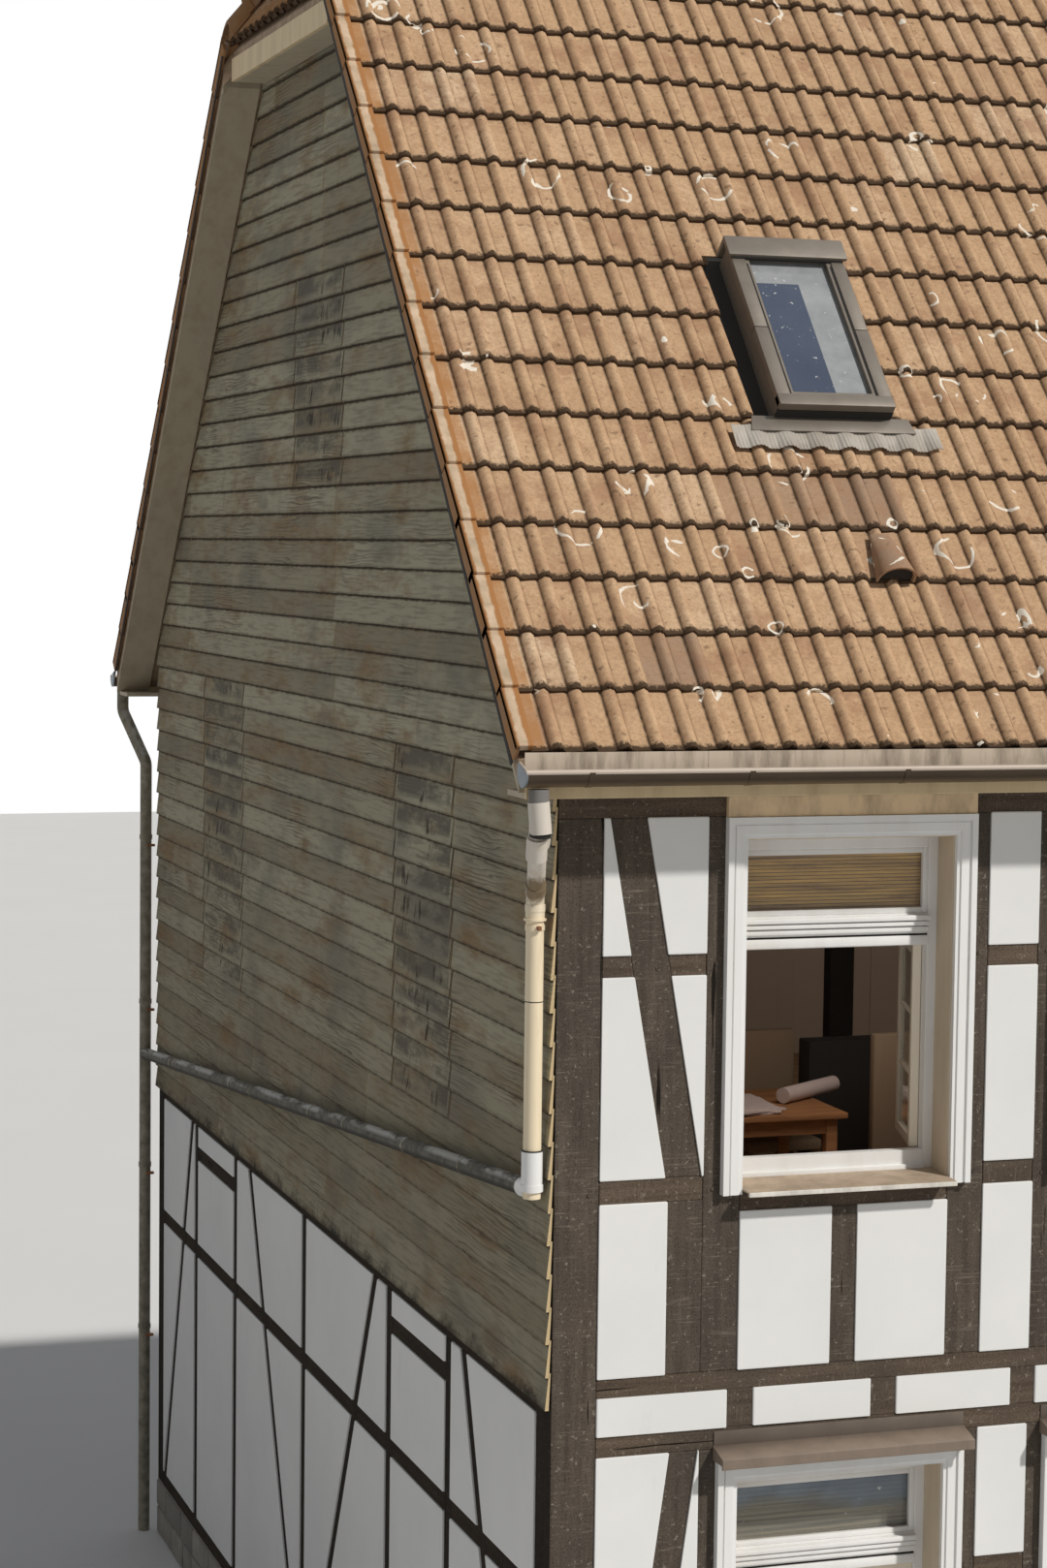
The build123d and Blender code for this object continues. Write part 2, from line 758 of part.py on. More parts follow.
def windows():
    """Windows of both long walls: one front sash pair stands open."""
    for side in ("front", "back"):
        for upper, top in ((False, ground_window_top), (True, upper_window_top)):
            for i, centre in enumerate(window_centres):
                if has_door(side, upper, i):
                    door(side, centre, top)
                else:
                    opened = side == "front" and upper and i == open_window_index
                    window(side, centre, top, upper, opened)


def door(side, centre, top):
    """Boarded door between its posts, and the steps up to it."""
    place = wall_places[side] * Pos(centre, 0, 0)
    half = window_width / 2
    add("door", place * block(-half, half, door_setback, door_setback + door_thickness, ground_beam_top, top))
    flight = [(0, 0), (0, plinth_height)]
    for i in range(1, step_count + 1):
        flight += [(-i * step_going, plinth_height - (i - 1) * step_rise),
                   (-i * step_going, plinth_height - i * step_rise)]
    add("door_steps", place * lengthwise(flight, -step_width / 2, step_width / 2))


def rooflight():
    """Kerb and frame through the roof, its pane, and the apron below."""
    through = deck_bottom + rooflight_height
    middle = (rooflight_height - deck_bottom) / 2
    inner = Box(rooflight_width - 2 * rooflight_rim, rooflight_length - 2 * rooflight_rim, 2 * through)
    outer = Box(rooflight_width, rooflight_length, through)
    add("rooflight_frame", rooflight_place(middle) * (outer - inner))
    add("rooflight_pane", rooflight_place(rooflight_height - rooflight_pane_drop) * Box(
        rooflight_width - 2 * rooflight_rim, rooflight_length - 2 * rooflight_rim, pane_thickness))
    apron = on_slope(rooflight_centre, rooflight_up_slope - apron_length / 2, apron_thickness / 2)
    add("rooflight_apron", apron * Box(apron_width, apron_length, apron_thickness))


def vent():
    """Half-round ventilating hood, open down the slope."""
    arch = Circle(vent_radius) & Pos(0, vent_radius / 2) * Rectangle(2 * vent_radius, vent_radius)
    arch = arch - Circle(vent_radius - vent_wall)
    plane = Plane(on_slope(vent_centre, vent_up_slope, 0))
    section = Plane(origin=plane.origin, x_dir=plane.x_dir, z_dir=plane.y_dir * -1)
    hood = extrude(section * arch, amount=-vent_length)
    add("vent_hood", hood)


def finish():
    """Write one file for each node."""
    os.makedirs("parts", exist_ok=True)
    for name, solids in nodes.items():
        export_step(solids[0] if len(solids) == 1 else Compound(solids), f"parts/{name}.step")


plinth()
floors()
long_wall("front")
long_wall("back")
gable_storey("left")
gable_storey("right")
windows()
roof()
roof_frame()
gable_walls()
eaves_boxes()
verges()
caps()
gutters()
downpipes()
rooflight()
vent()
finish()
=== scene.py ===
import bmesh
import bpy
import math
import random
from mathutils import Matrix, Vector


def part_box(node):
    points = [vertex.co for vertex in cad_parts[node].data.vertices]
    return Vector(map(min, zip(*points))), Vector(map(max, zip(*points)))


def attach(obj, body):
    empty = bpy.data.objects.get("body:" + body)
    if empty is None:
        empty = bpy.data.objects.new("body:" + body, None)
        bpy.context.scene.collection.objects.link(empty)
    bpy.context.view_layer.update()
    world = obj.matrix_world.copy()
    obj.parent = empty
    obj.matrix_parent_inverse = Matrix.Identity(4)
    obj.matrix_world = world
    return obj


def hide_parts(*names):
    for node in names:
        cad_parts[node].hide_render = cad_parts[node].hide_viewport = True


# Half-timbered house: finishes and fine pieces laid over the fixed frame. Metres, +Z up.

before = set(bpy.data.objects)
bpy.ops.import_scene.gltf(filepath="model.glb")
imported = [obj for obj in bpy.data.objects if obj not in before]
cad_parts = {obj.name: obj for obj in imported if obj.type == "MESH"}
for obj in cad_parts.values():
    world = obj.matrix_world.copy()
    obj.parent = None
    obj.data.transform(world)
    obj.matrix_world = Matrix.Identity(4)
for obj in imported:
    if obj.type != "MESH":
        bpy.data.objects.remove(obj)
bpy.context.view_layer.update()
random.seed(11)

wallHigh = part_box("long_plinths")[1]
tileLow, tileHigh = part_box("front_tiles")
gutterLow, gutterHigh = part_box("gutters")

house = {
    "halfLength": wallHigh.x,
    "halfWidth": wallHigh.y,
    "eavesY": -tileLow.y,
    "vergeX": tileHigh.x,
    "ridgeZ": tileHigh.z,
    "roofPitch": math.radians(48.5),
    "hipPitch": math.radians(55),
    "hipEavesZ": 9.45,
    "windowPitch": 1.55,
    "windowCount": 5,
    "doorIndex": 2,
}
slopeTan = math.tan(house["roofPitch"])
eavesZ = house["ridgeZ"] - house["eavesY"] * slopeTan
hipHalf = (house["ridgeZ"] - house["hipEavesZ"]) / slopeTan
apexX = house["vergeX"] - (house["ridgeZ"] - house["hipEavesZ"]) / math.tan(house["hipPitch"])

# Node trees

def addNode(tree, kind, inputs=None, **settings):
    made = tree.nodes.new(kind)
    for key, value in settings.items():
        setattr(made, key, value)
    for key, value in (inputs or {}).items():
        setInput(tree, made.inputs[key], value)
    return made


def setInput(tree, socket, value):
    # a socket is linked, a colour gets its alpha, and any other value is set
    if isinstance(value, bpy.types.NodeSocket):
        tree.links.new(value, socket)
    elif socket.type == "RGBA":
        socket.default_value = (*value, 1)
    else:
        socket.default_value = value


def newSurface(name, roughness, specular=0.4, metallic=0.0):
    material = bpy.data.materials.new(name)
    material.use_nodes = True
    shader = material.node_tree.nodes["Principled BSDF"]
    shader.inputs["Roughness"].default_value = roughness
    shader.inputs["Specular IOR Level"].default_value = specular
    shader.inputs["Metallic"].default_value = metallic
    return material, material.node_tree


def colourAndBump(material, colour, height=None, strength=0.0, distance=0.0):
    tree = material.node_tree
    shader = tree.nodes["Principled BSDF"]
    tree.links.new(colour, shader.inputs["Base Color"])
    if height is not None:
        sizes = {"Height": height, "Strength": strength, "Distance": distance}
        tree.links.new(addNode(tree, "ShaderNodeBump", sizes).outputs["Normal"], shader.inputs["Normal"])
    return material


def spots(tree, stretch=(1, 1, 1)):
    # object coordinates, stretched along a grain
    place = addNode(tree, "ShaderNodeTexCoord").outputs["Object"]
    return addNode(tree, "ShaderNodeMapping", {"Vector": place, "Scale": stretch}).outputs["Vector"]


def split(tree, vector, axis):
    return addNode(tree, "ShaderNodeSeparateXYZ", {"Vector": vector}).outputs[axis]


def coordinate(tree, axis):
    return split(tree, spots(tree), axis)


def facing(tree, axis):
    # one part of the way that a face looks
    return split(tree, addNode(tree, "ShaderNodeNewGeometry").outputs["Normal"], axis)


def noise(tree, scale, detail=4.0, roughness=0.55, stretch=(1, 1, 1), distortion=0.0, vector=None):
    place = spots(tree, stretch) if vector is None else vector
    return addNode(tree, "ShaderNodeTexNoise", {
        "Vector": place, "Scale": scale, "Detail": detail,
        "Roughness": roughness, "Distortion": distortion}).outputs["Fac"]


def attribute(tree, name):
    return addNode(tree, "ShaderNodeAttribute", attribute_name=name).outputs["Fac"]


def ramp(tree, factor, *stops):
    # colours or greys between two or more places
    made = addNode(tree, "ShaderNodeValToRGB", {"Fac": factor})
    elements = made.color_ramp.elements
    while len(elements) < len(stops):
        elements.new(0.5)
    for element, (place, colour) in zip(elements, stops):
        element.position = place
        element.color = (*colour, 1) if isinstance(colour, tuple) else (colour, colour, colour, 1)
    return made.outputs["Color"]


def layers(tree, colour, *coats):
    # each coat has a mask, its ramp stops where it has any, and the colour that it brings
    for mask, *stops, coat in coats:
        share = ramp(tree, mask, *stops) if stops else mask
        made = addNode(tree, "ShaderNodeMix", {0: share, 6: colour, 7: coat}, data_type="RGBA")
        colour = made.outputs[2]
    return colour


def compute(tree, operation, *values, clamp=False):
    inputs = dict(enumerate(values))
    return addNode(tree, "ShaderNodeMath", inputs, operation=operation, use_clamp=clamp).outputs[0]


def computeVector(tree, operation, first, second):
    return addNode(tree, "ShaderNodeVectorMath", {0: first, 1: second}, operation=operation).outputs


def times(tree, first, second):
    return compute(tree, "MULTIPLY", first, second)


def plus(tree, first, second, clamp=False):
    return compute(tree, "ADD", first, second, clamp=clamp)


def minus(tree, first, second):
    return compute(tree, "SUBTRACT", first, second)


def absolute(tree, value):
    return compute(tree, "ABSOLUTE", value)


def over(tree, value, limit):
    return compute(tree, "GREATER_THAN", value, limit)


def under(tree, value, limit):
    return compute(tree, "LESS_THAN", value, limit)


# Finishes

indoors = {
    "wallInset": 0.17,
    "tint": (0.5, 0.42, 0.35),
}


def insideMask(tree):
    # 1 on faces that look into the rooms, 0 outside
    x = under(tree, absolute(tree, coordinate(tree, "X")), house["halfLength"] - indoors["wallInset"])
    y = under(tree, absolute(tree, coordinate(tree, "Y")), house["halfWidth"] - indoors["wallInset"])
    return times(tree, x, y)


timber = {
    "cloud": (0.064, 0.055, 0.046),
    "darkening": (0.026, 0.021, 0.018),
    "fleck": (0.25, 0.215, 0.175),
    "sawMark": (0.22, 0.183, 0.145),
    "crack": (0.012, 0.01, 0.008),
    # gable: near-black painted shade laid over the timber faces that look along X onto the gables
    "gable": (0.008, 0.007, 0.006),
    "gableShadeShare": 0.72,
}


def timberFinish(name, grain, scratches, cracks, dark, pale):
    # dark oak: quiet fine grain, pale cross saw marks, dry cracks and flecks; painted shade on the faces that
    # look onto the gables
    material, tree = newSurface(name, 0.9, 0.04)
    fibre = noise(tree, 1.0, 5, 0.6, grain)
    fine = noise(tree, 120, 3, 0.7)
    patchy = ramp(tree, noise(tree, 7, 3), (0.42, 0.0), (0.6, 1.0))
    marks = times(tree, ramp(tree, noise(tree, 1.0, 3, 0.6, scratches), (0.56, 0.0), (0.7, 0.6)), patchy)
    crack = ramp(tree, noise(tree, 1.0, 3, 0.5, cracks, 0.3), (0.31, 0.95), (0.335, 0.0))
    # painted shade: timber faces that look along X, onto the gables, are darkened
    gable = times(tree, over(tree, absolute(tree, facing(tree, "X")), 0.8), timber["gableShadeShare"])
    colour = layers(
        tree, ramp(tree, fibre, (0.3, dark), (0.7, pale)),
        (noise(tree, 1.9, 3), (0.4, 0.0), (0.7, 0.6), timber["cloud"]),
        (fine, (0.36, 0.65), (0.5, 0.0), timber["darkening"]),
        (noise(tree, 55, 2, 0.6), (0.64, 0.0), (0.71, 0.75), timber["fleck"]),
        (marks, timber["sawMark"]),
        (crack, timber["crack"]),
        (gable, timber["gable"]),
        (insideMask(tree), indoors["tint"]),
    )
    height = minus(tree, times(tree, fibre, 0.5), times(tree, crack, 0.8))
    height = plus(tree, height, times(tree, fine, 0.25))
    return colourAndBump(material, colour, height, 0.6, 0.005)


limewash = {
    "low": (0.73, 0.735, 0.725),
    "high": (0.79, 0.79, 0.775),
    "dirt": (0.52, 0.5, 0.45),
}


def plasterFinish():
    # limewashed infill: nearly flat white, faint trowel marks and grey dirt
    material, tree = newSurface("limewash", 0.88, 0.2)
    soft = noise(tree, 1.7, 5)
    colour = layers(
        tree, ramp(tree, soft, (0.3, limewash["low"]), (0.7, limewash["high"])),
        (noise(tree, 1.4, 6, 0.65, (6, 6, 1.5)), (0.62, 0.0), (0.85, 0.35), limewash["dirt"]),
        (insideMask(tree), indoors["tint"]),
    )
    height = plus(tree, times(tree, soft, 0.8), times(tree, noise(tree, 60, 4, 0.7), 0.2))
    return colourAndBump(material, colour, height, 0.3, 0.006)


lichen = {
    "centre": (-2.6, -3.6, 6.8),
    "wobble": (0.05, 0.05, 0.05),
    "rings": ((4.4, 0.03, 0.24, 0.024), (2.9, 0.09, 0.32, 0.019)),  # scale, least size, spread, line
    "colour": (0.78, 0.72, 0.62),
}


def lichenRings(tree):
    # broken pale rings, larger and closer together below the rooflight
    place = spots(tree)
    bend = addNode(tree, "ShaderNodeTexNoise", {"Vector": place, "Scale": 9.0, "Detail": 3.0})
    small = computeVector(tree, "MULTIPLY", bend.outputs["Color"], lichen["wobble"])["Vector"]
    moved = computeVector(tree, "ADD", place, small)["Vector"]
    near = computeVector(tree, "DISTANCE", place, lichen["centre"])["Value"]
    limit = ramp(tree, times(tree, near, 0.4), (0.2, 0.36), (0.6, 0.61))
    found = 0.0
    for scale, least, spread, line in lichen["rings"]:
        cells = addNode(tree, "ShaderNodeTexVoronoi", {"Vector": moved, "Scale": scale, "Randomness": 1.0})
        middle = cells.outputs["Position"]
        size = compute(tree, "MULTIPLY_ADD", noise(tree, 11.0, 0, vector=middle), spread, least)
        ring = compute(tree, "COMPARE", cells.outputs["Distance"], size, line)
        some = over(tree, noise(tree, 6.0, 0, vector=middle), limit)
        found = compute(tree, "MAXIMUM", found, times(tree, ring, some))
    return times(tree, found, over(tree, noise(tree, 8.0, 1), 0.51))


tileLook = {
    "tones": ((0.0, (0.34, 0.235, 0.165)), (0.06, (0.43, 0.29, 0.19)), (0.13, (0.54, 0.36, 0.22)),
              (0.55, (0.6, 0.4, 0.24)), (0.85, (0.65, 0.45, 0.285)), (1.0, (0.69, 0.51, 0.34))),
    "worn": (0.42, 0.25, 0.14),
    "stain": (0.36, 0.2, 0.118),
    "spot": (0.17, 0.105, 0.062),
    "mottle": (0.29, 0.175, 0.1),
    "grit": (0.24, 0.15, 0.09),
    # painted shade with dirt at the feet of the rolls
    "rollFootShadeAndDirt": (0.055, 0.034, 0.02),
    "flat": (0.4, 0.2, 0.08),
    "flatWidth": 0.106,
    "crust": (0.05, 0.031, 0.018),
    "crustWander": 0.24,
}


def tileFinish(name, crusted):
    # sand-faced tile: tan face, dark crust at the lower edge, painted shade with dirt at the feet of the
    # rolls, orange flats at the verge, lichen rings
    material, tree = newSurface(name, 0.92, 0.15)
    grit = noise(tree, 230, 3, 0.8)
    cloud = noise(tree, 7, 5, 0.6)
    # painted shade with dirt along the feet of the rolls, darkest on their left sides
    rollFootShadeAndDirt = times(tree, attribute(tree, "rollFootShadeAndDirt"), ramp(tree, noise(tree, 24, 4), (0.3, 0.6), (0.6, 1.0)))
    edge = over(tree, absolute(tree, coordinate(tree, "X")), house["vergeX"] - tileLook["flatWidth"])
    rusty = times(tree, edge, ramp(tree, cloud, (0.38, 0.35), (0.6, 0.85)))
    wander = times(tree, noise(tree, 60, 4, 0.75), tileLook["crustWander"])
    fromFoot = plus(tree, attribute(tree, "along"), wander)
    colour = layers(
        tree, ramp(tree, attribute(tree, "tone"), *tileLook["tones"]),
        (cloud, (0.42, 0.0), (0.72, 0.6), tileLook["worn"]),
        (noise(tree, 3.6, 5, 0.75), (0.5, 0.0), (0.62, 0.62), tileLook["stain"]),
        (noise(tree, 24, 3, 0.6), (0.63, 0.0), (0.68, 0.65), tileLook["spot"]),
        (noise(tree, 55, 4, 0.75), (0.38, 0.42), (0.55, 0.0), tileLook["mottle"]),
        (grit, (0.4, 0.3), (0.55, 0.0), tileLook["grit"]),
        (rollFootShadeAndDirt, tileLook["rollFootShadeAndDirt"]),
        (rusty, tileLook["flat"]),
        (fromFoot, (0.17, 0.95 * crusted), (0.215, 0.0), tileLook["crust"]),
        (times(tree, lichenRings(tree), minus(tree, 1.0, edge)), lichen["colour"]),
    )
    height = plus(tree, times(tree, grit, 0.3), times(tree, cloud, 0.5))
    return colourAndBump(material, colour, height, 0.45, 0.003)


# older boards in three upright patches on each gable, as the photographed gable has them
aged = {
    "patches": (((-2.65, -1.68), (4.02, 5.7)), ((1.6, 2.65), (4.02, 5.84)), ((-0.62, 0.4), (6.96, 8.08))),
    "openJoint": 0.013,
    "margin": 0.04,
    "smear": (0.112, 0.105, 0.086),
    "run": (0.022, 0.019, 0.014),
    "joint": (0.02, 0.016, 0.012),
}


def agedMasks(tree):
    # inside of the patches, and the black joints up their sides
    turned = times(tree, compute(tree, "SIGN", coordinate(tree, "X")), -1.0)
    across = times(tree, coordinate(tree, "Y"), turned)
    inside, joints = 0.0, 0.0
    for (y0, y1), (z0, z1) in aged["patches"]:
        aside = absolute(tree, minus(tree, across, (y0 + y1) / 2))
        above = absolute(tree, minus(tree, coordinate(tree, "Z"), (z0 + z1) / 2))
        tall = under(tree, above, (z1 - z0) / 2)
        wide = under(tree, aside, (y1 - y0) / 2 - aged["margin"])
        line = compute(tree, "COMPARE", aside, (y1 - y0) / 2, aged["openJoint"])
        inside = compute(tree, "MAXIMUM", inside, times(tree, tall, wide))
        joints = compute(tree, "MAXIMUM", joints, times(tree, tall, line))
    return inside, joints


siding = {
    "paint": ((0.0, (0.28, 0.246, 0.172)), (0.5, (0.355, 0.328, 0.234)), (1.0, (0.425, 0.4, 0.295))),
    "rust": (0.24, 0.15, 0.075),
    "fibre": (0.14, 0.118, 0.078),
    "bare": (0.195, 0.19, 0.16),
    "grain": (0.1, 0.082, 0.058),
    "drip": (0.09, 0.078, 0.058),
    # dirt and painted shade at the foot of each board and under the lap above
    "lapDirtAndShade": (0.04, 0.028, 0.018),
    # darkening on the boards: darker towards the bottom of the boards
    "darkening": (0.1, 0.066, 0.04),
    "mould": (0.018, 0.016, 0.013),
    "mouldTop": 3.1,
    # cream end grain, brightened as painted sunlight on the board ends
    "boardEndGrainAndHighlight": (0.56, 0.43, 0.25),
}


def sidingFinish():
    # painted boards in the shade: wavy grain, brown runs, bare grey places, dirt and painted shade at each
    # lap, darker towards the bottom, cream board ends with painted sunlight
    material, tree = newSurface("weatheredBoards", 0.85, 0.1)
    along = attribute(tree, "along")
    wave = addNode(tree, "ShaderNodeTexWave", {
        "Vector": spots(tree, (1, 0.22, 2.2)), "Scale": 6.5, "Distortion": 13.0, "Detail": 2.0,
        "Detail Scale": 1.1}, bands_direction="Z").outputs["Fac"]
    fibre = noise(tree, 1.0, 3, 0.6, (4, 4, 60))
    figured = ramp(tree, noise(tree, 1.0, 3, stretch=(1, 1.2, 2.5)), (0.5, 0.0), (0.64, 1.0))
    inside, joints = agedMasks(tree)
    smear = times(tree, ramp(tree, noise(tree, 1.0, 5, 0.7, (3, 2.2, 7)), (0.4, 0.0), (0.56, 0.85)),
                  ramp(tree, along, (0.14, 0.0), (0.34, 1.0), (0.74, 1.0), (0.84, 0.3)))
    run = times(tree, ramp(tree, noise(tree, 1.0, 4, 0.65, (17, 17, 2.6), 0.4), (0.53, 0.0), (0.6, 0.95)),
                ramp(tree, along, (0.1, 0.2), (0.2, 1.0), (0.6, 1.0), (0.8, 0.0)))
    soaked = ramp(tree, noise(tree, 1.0, 2, stretch=(2.4, 2.4, 3.4)), (0.53, 0.0), (0.58, 1.0))
    broken = ramp(tree, noise(tree, 1.0, 3, stretch=(9, 9, 4)), (0.3, 0.35), (0.46, 1.0))
    height = coordinate(tree, "Z")
    uneven = compute(tree, "MULTIPLY_ADD", noise(tree, 1.6, 5, 0.7, (3, 3, 5)), 0.3, height)
    colour = layers(
        tree, ramp(tree, attribute(tree, "tone"), *siding["paint"]),
        (noise(tree, 1.0, 5, 0.65, (1.4, 1.4, 5)), (0.5, 0.0), (0.68, 0.8), siding["rust"]),
        (fibre, (0.36, 0.4), (0.52, 0.0), siding["fibre"]),
        (noise(tree, 1.3, 4, 0.6, (1, 0.8, 1.6)), (0.52, 0.0), (0.66, 0.6), siding["bare"]),
        (times(tree, ramp(tree, wave, (0.05, 0.6), (0.22, 0.0)), figured), siding["grain"]),
        (noise(tree, 1.0, 4, 0.6, (9, 9, 0.9)), (0.64, 0.0), (0.76, 0.5), siding["drip"]),
        (times(tree, smear, inside), aged["smear"]),
        (times(tree, times(tree, run, soaked), inside), aged["run"]),
        # dirt and painted shade at the foot of each board and just under the lap of the board above
        (plus(tree, along, times(tree, noise(tree, 14, 4), 0.1)), (0.03, 0.85), (0.08, 0.25), (0.14, 0.0),
         (0.82, 0.0), (0.88, 0.95), siding["lapDirtAndShade"]),
        (times(tree, joints, broken), aged["joint"]),
        # darker towards the bottom of the boards
        (times(tree, height, 0.1), (0.31, 0.34), (0.4, 0.2), (0.55, 0.0), siding["darkening"]),
        (minus(tree, uneven, siding["mouldTop"]), (0.06, 0.95), (0.15, 0.0), siding["mould"]),
        # board ends that look along Y: cream end grain with painted sunlight
        (over(tree, absolute(tree, facing(tree, "Y")), 0.9), siding["boardEndGrainAndHighlight"]),
    )
    relief = plus(tree, times(tree, times(tree, wave, figured), 0.7), times(tree, fibre, 0.3))
    return colourAndBump(material, colour, relief, 0.5, 0.004)


def splitFinish(name, value, limit, low, high):
    # two paints on one node, parted where a value passes a limit
    material, tree = newSurface(name, 0.6, 0.35)
    colour = layers(
        tree, low,
        (over(tree, value(tree), limit), high),
        (noise(tree, 2.0, 6, 0.65, (5, 5, 2)), (0.4, 0.0), (0.75, 0.55), (0.13, 0.1, 0.075)),
    )
    return colourAndBump(material, colour, noise(tree, 80, 3, 0.7), 0.2, 0.001)


skyPane = {
    "middle": sum(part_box("rooflight_pane"), Vector()) / 2,
    "partX": 0.03,
    "partZ": 0.22,
    "blue": ((0.3, (0.05, 0.07, 0.125)), (0.7, (0.075, 0.1, 0.16))),
    "grey": ((0.3, (0.3, 0.32, 0.33)), (0.7, (0.42, 0.44, 0.45))),
    "speck": (0.7, 0.72, 0.72),
}


def skyGlassFinish():
    # rooflight pane: slate-blue and pale grey reflections, with white specks
    material, tree = newSurface("rooflightGlass", 0.12, 0.3)
    right = over(tree, coordinate(tree, "X"), skyPane["middle"].x + skyPane["partX"])
    above = over(tree, coordinate(tree, "Z"), skyPane["middle"].z + skyPane["partZ"])
    colour = layers(
        tree, ramp(tree, noise(tree, 3, 3), *skyPane["blue"]),
        (compute(tree, "MAXIMUM", right, above), ramp(tree, noise(tree, 9, 4), *skyPane["grey"])),
        (noise(tree, 42, 2), (0.69, 0.0), (0.73, 0.8), skyPane["speck"]),
    )
    tree.nodes["Principled BSDF"].inputs["Transmission Weight"].default_value = 0.25
    return colourAndBump(material, colour)


def paintFinish(name, clean, dirty, roughness=0.5, amount=0.5, dirtScale=(9, 9, 1.2), specular=0.4):
    # paint on boards or metal, with runs of dirt
    material, tree = newSurface(name, roughness, specular)
    colour = layers(tree, clean, (noise(tree, 1.0, 6, 0.65, dirtScale), (0.45, 0.0), (0.8, amount), dirty))
    return colourAndBump(material, colour, noise(tree, 90, 3, 0.7), 0.2, 0.001)


plastic = {
    "cream": (0.82, 0.7, 0.5),
    "grey": (0.62, 0.57, 0.5),
    "greyFrom": 5.1,
    "streak": (0.42, 0.31, 0.19),
    "bend": (-4.535, -4.15, 5.25),
    "dirt": (0.17, 0.115, 0.055),
}


def pipeFinish():
    # cream plastic, greyer above the collar, brown dirt in the bend
    material, tree = newSurface("pipePlastic", 0.55, 0.35)
    above = minus(tree, coordinate(tree, "Z"), plastic["greyFrom"])
    apart = computeVector(tree, "DISTANCE", spots(tree), plastic["bend"])["Value"]
    ragged = compute(tree, "MULTIPLY_ADD", noise(tree, 15, 4, 0.7), 0.16, apart)
    colour = layers(
        tree, plastic["cream"],
        (compute(tree, "MULTIPLY", above, 5.0, clamp=True), plastic["grey"]),
        (noise(tree, 1.0, 6, 0.65, (20, 20, 2)), (0.48, 0.0), (0.8, 0.5), plastic["streak"]),
        (ragged, (0.135, 0.92), (0.175, 0.0), plastic["dirt"]),
    )
    return colourAndBump(material, colour, noise(tree, 60, 3), 0.15, 0.001)


def mossyLitAndShadedFinish(name, dark, pale):
    # old grey pipe: painted light in patches on its top, painted shade with black moss below
    material, tree = newSurface(name, 0.75, 0.2)
    upward = facing(tree, "Z")
    lit = times(tree, ramp(tree, upward, (0.3, 0.0), (0.75, 1.0)),
                ramp(tree, noise(tree, 1.0, 5, 0.6, (8, 2.2, 8)), (0.46, 0.0), (0.56, 0.9)))
    colour = layers(
        tree, ramp(tree, noise(tree, 16, 4), (0.35, dark), (0.65, pale)),
        # painted light: pale patches on faces that look up
        (lit, (0.6, 0.6, 0.57)),
        # painted shade with moss: near-black on faces that look down
        (times(tree, upward, -1.0), (0.02, 0.0), (0.35, 0.9), (0.028, 0.026, 0.02)),
    )
    return colourAndBump(material, colour, noise(tree, 60, 4), 0.4, 0.002)


def metalFinish(name, colour, dull, roughness=0.5, metallic=0.6):
    # sheet metal, duller and rougher in clouds
    material, tree = newSurface(name, roughness, 0.5, metallic)
    cloud = noise(tree, 5, 5, 0.6)
    rough = plus(tree, times(tree, cloud, 0.25), roughness - 0.1, clamp=True)
    tree.links.new(rough, tree.nodes["Principled BSDF"].inputs["Roughness"])
    colour = layers(tree, colour, (cloud, (0.35, 0.0), (0.7, 0.8), dull))
    return colourAndBump(material, colour, noise(tree, 40, 3), 0.1, 0.002)


def boardFinish(name, light, dark, grain):
    # sawn or planed boards
    material, tree = newSurface(name, 0.7, 0.3)
    fibre = noise(tree, 1.0, 6, 0.65, grain, 0.5)
    return colourAndBump(material, ramp(tree, fibre, (0.35, dark), (0.65, light)), fibre, 0.3, 0.002)


def stoneFinish():
    # quarry stone, a tone for each one
    material, tree = newSurface("quarryStone", 0.9, 0.2)
    colour = layers(
        tree, ramp(tree, attribute(tree, "tone"), (0.0, (0.2, 0.185, 0.165)), (0.5, (0.3, 0.28, 0.25)),
                   (1.0, (0.38, 0.355, 0.31))),
        (noise(tree, 6, 6, 0.65), (0.4, 0.0), (0.7, 0.6), (0.16, 0.15, 0.13)),
    )
    return colourAndBump(material, colour, noise(tree, 22, 6, 0.7), 0.8, 0.01)


def mortarFinish():
    # gritty mortar and rough masonry
    material, tree = newSurface("mortar", 0.95, 0.1)
    grit = noise(tree, 45, 5, 0.7)
    colour = ramp(tree, grit, (0.3, (0.26, 0.25, 0.23)), (0.7, (0.38, 0.365, 0.335)))
    return colourAndBump(material, colour, grit, 0.5, 0.004)


def glassFinish(name, tint, roughness):
    # clear pane; soft light and shadows pass straight through it
    material, tree = newSurface(name, roughness, 0.15)
    shader = tree.nodes["Principled BSDF"]
    shader.inputs["Transmission Weight"].default_value = 0.95
    shader.inputs["IOR"].default_value = 1.3
    path = addNode(tree, "ShaderNodeLightPath").outputs
    soft = plus(tree, path["Is Shadow Ray"], path["Is Diffuse Ray"], clamp=True)
    clear = addNode(tree, "ShaderNodeBsdfTransparent", {"Color": (0.85, 0.87, 0.86)})
    mixed = addNode(tree, "ShaderNodeMixShader", {0: soft, 1: shader.outputs[0], 2: clear.outputs[0]})
    tree.links.new(mixed.outputs[0], tree.nodes["Material Output"].inputs["Surface"])
    return colourAndBump(material, layers(tree, tint, (noise(tree, 3, 4), tuple(c * 0.9 for c in tint))))


mirrored = {
    "skyFrom": 2.55,
    "slats": ((0.35, (0.14, 0.105, 0.07)), (0.65, (0.36, 0.28, 0.19))),
    "sky": ((0.35, (0.1, 0.14, 0.25)), (0.65, (0.24, 0.29, 0.38))),
    "glint": (0.8, 0.82, 0.84),
}


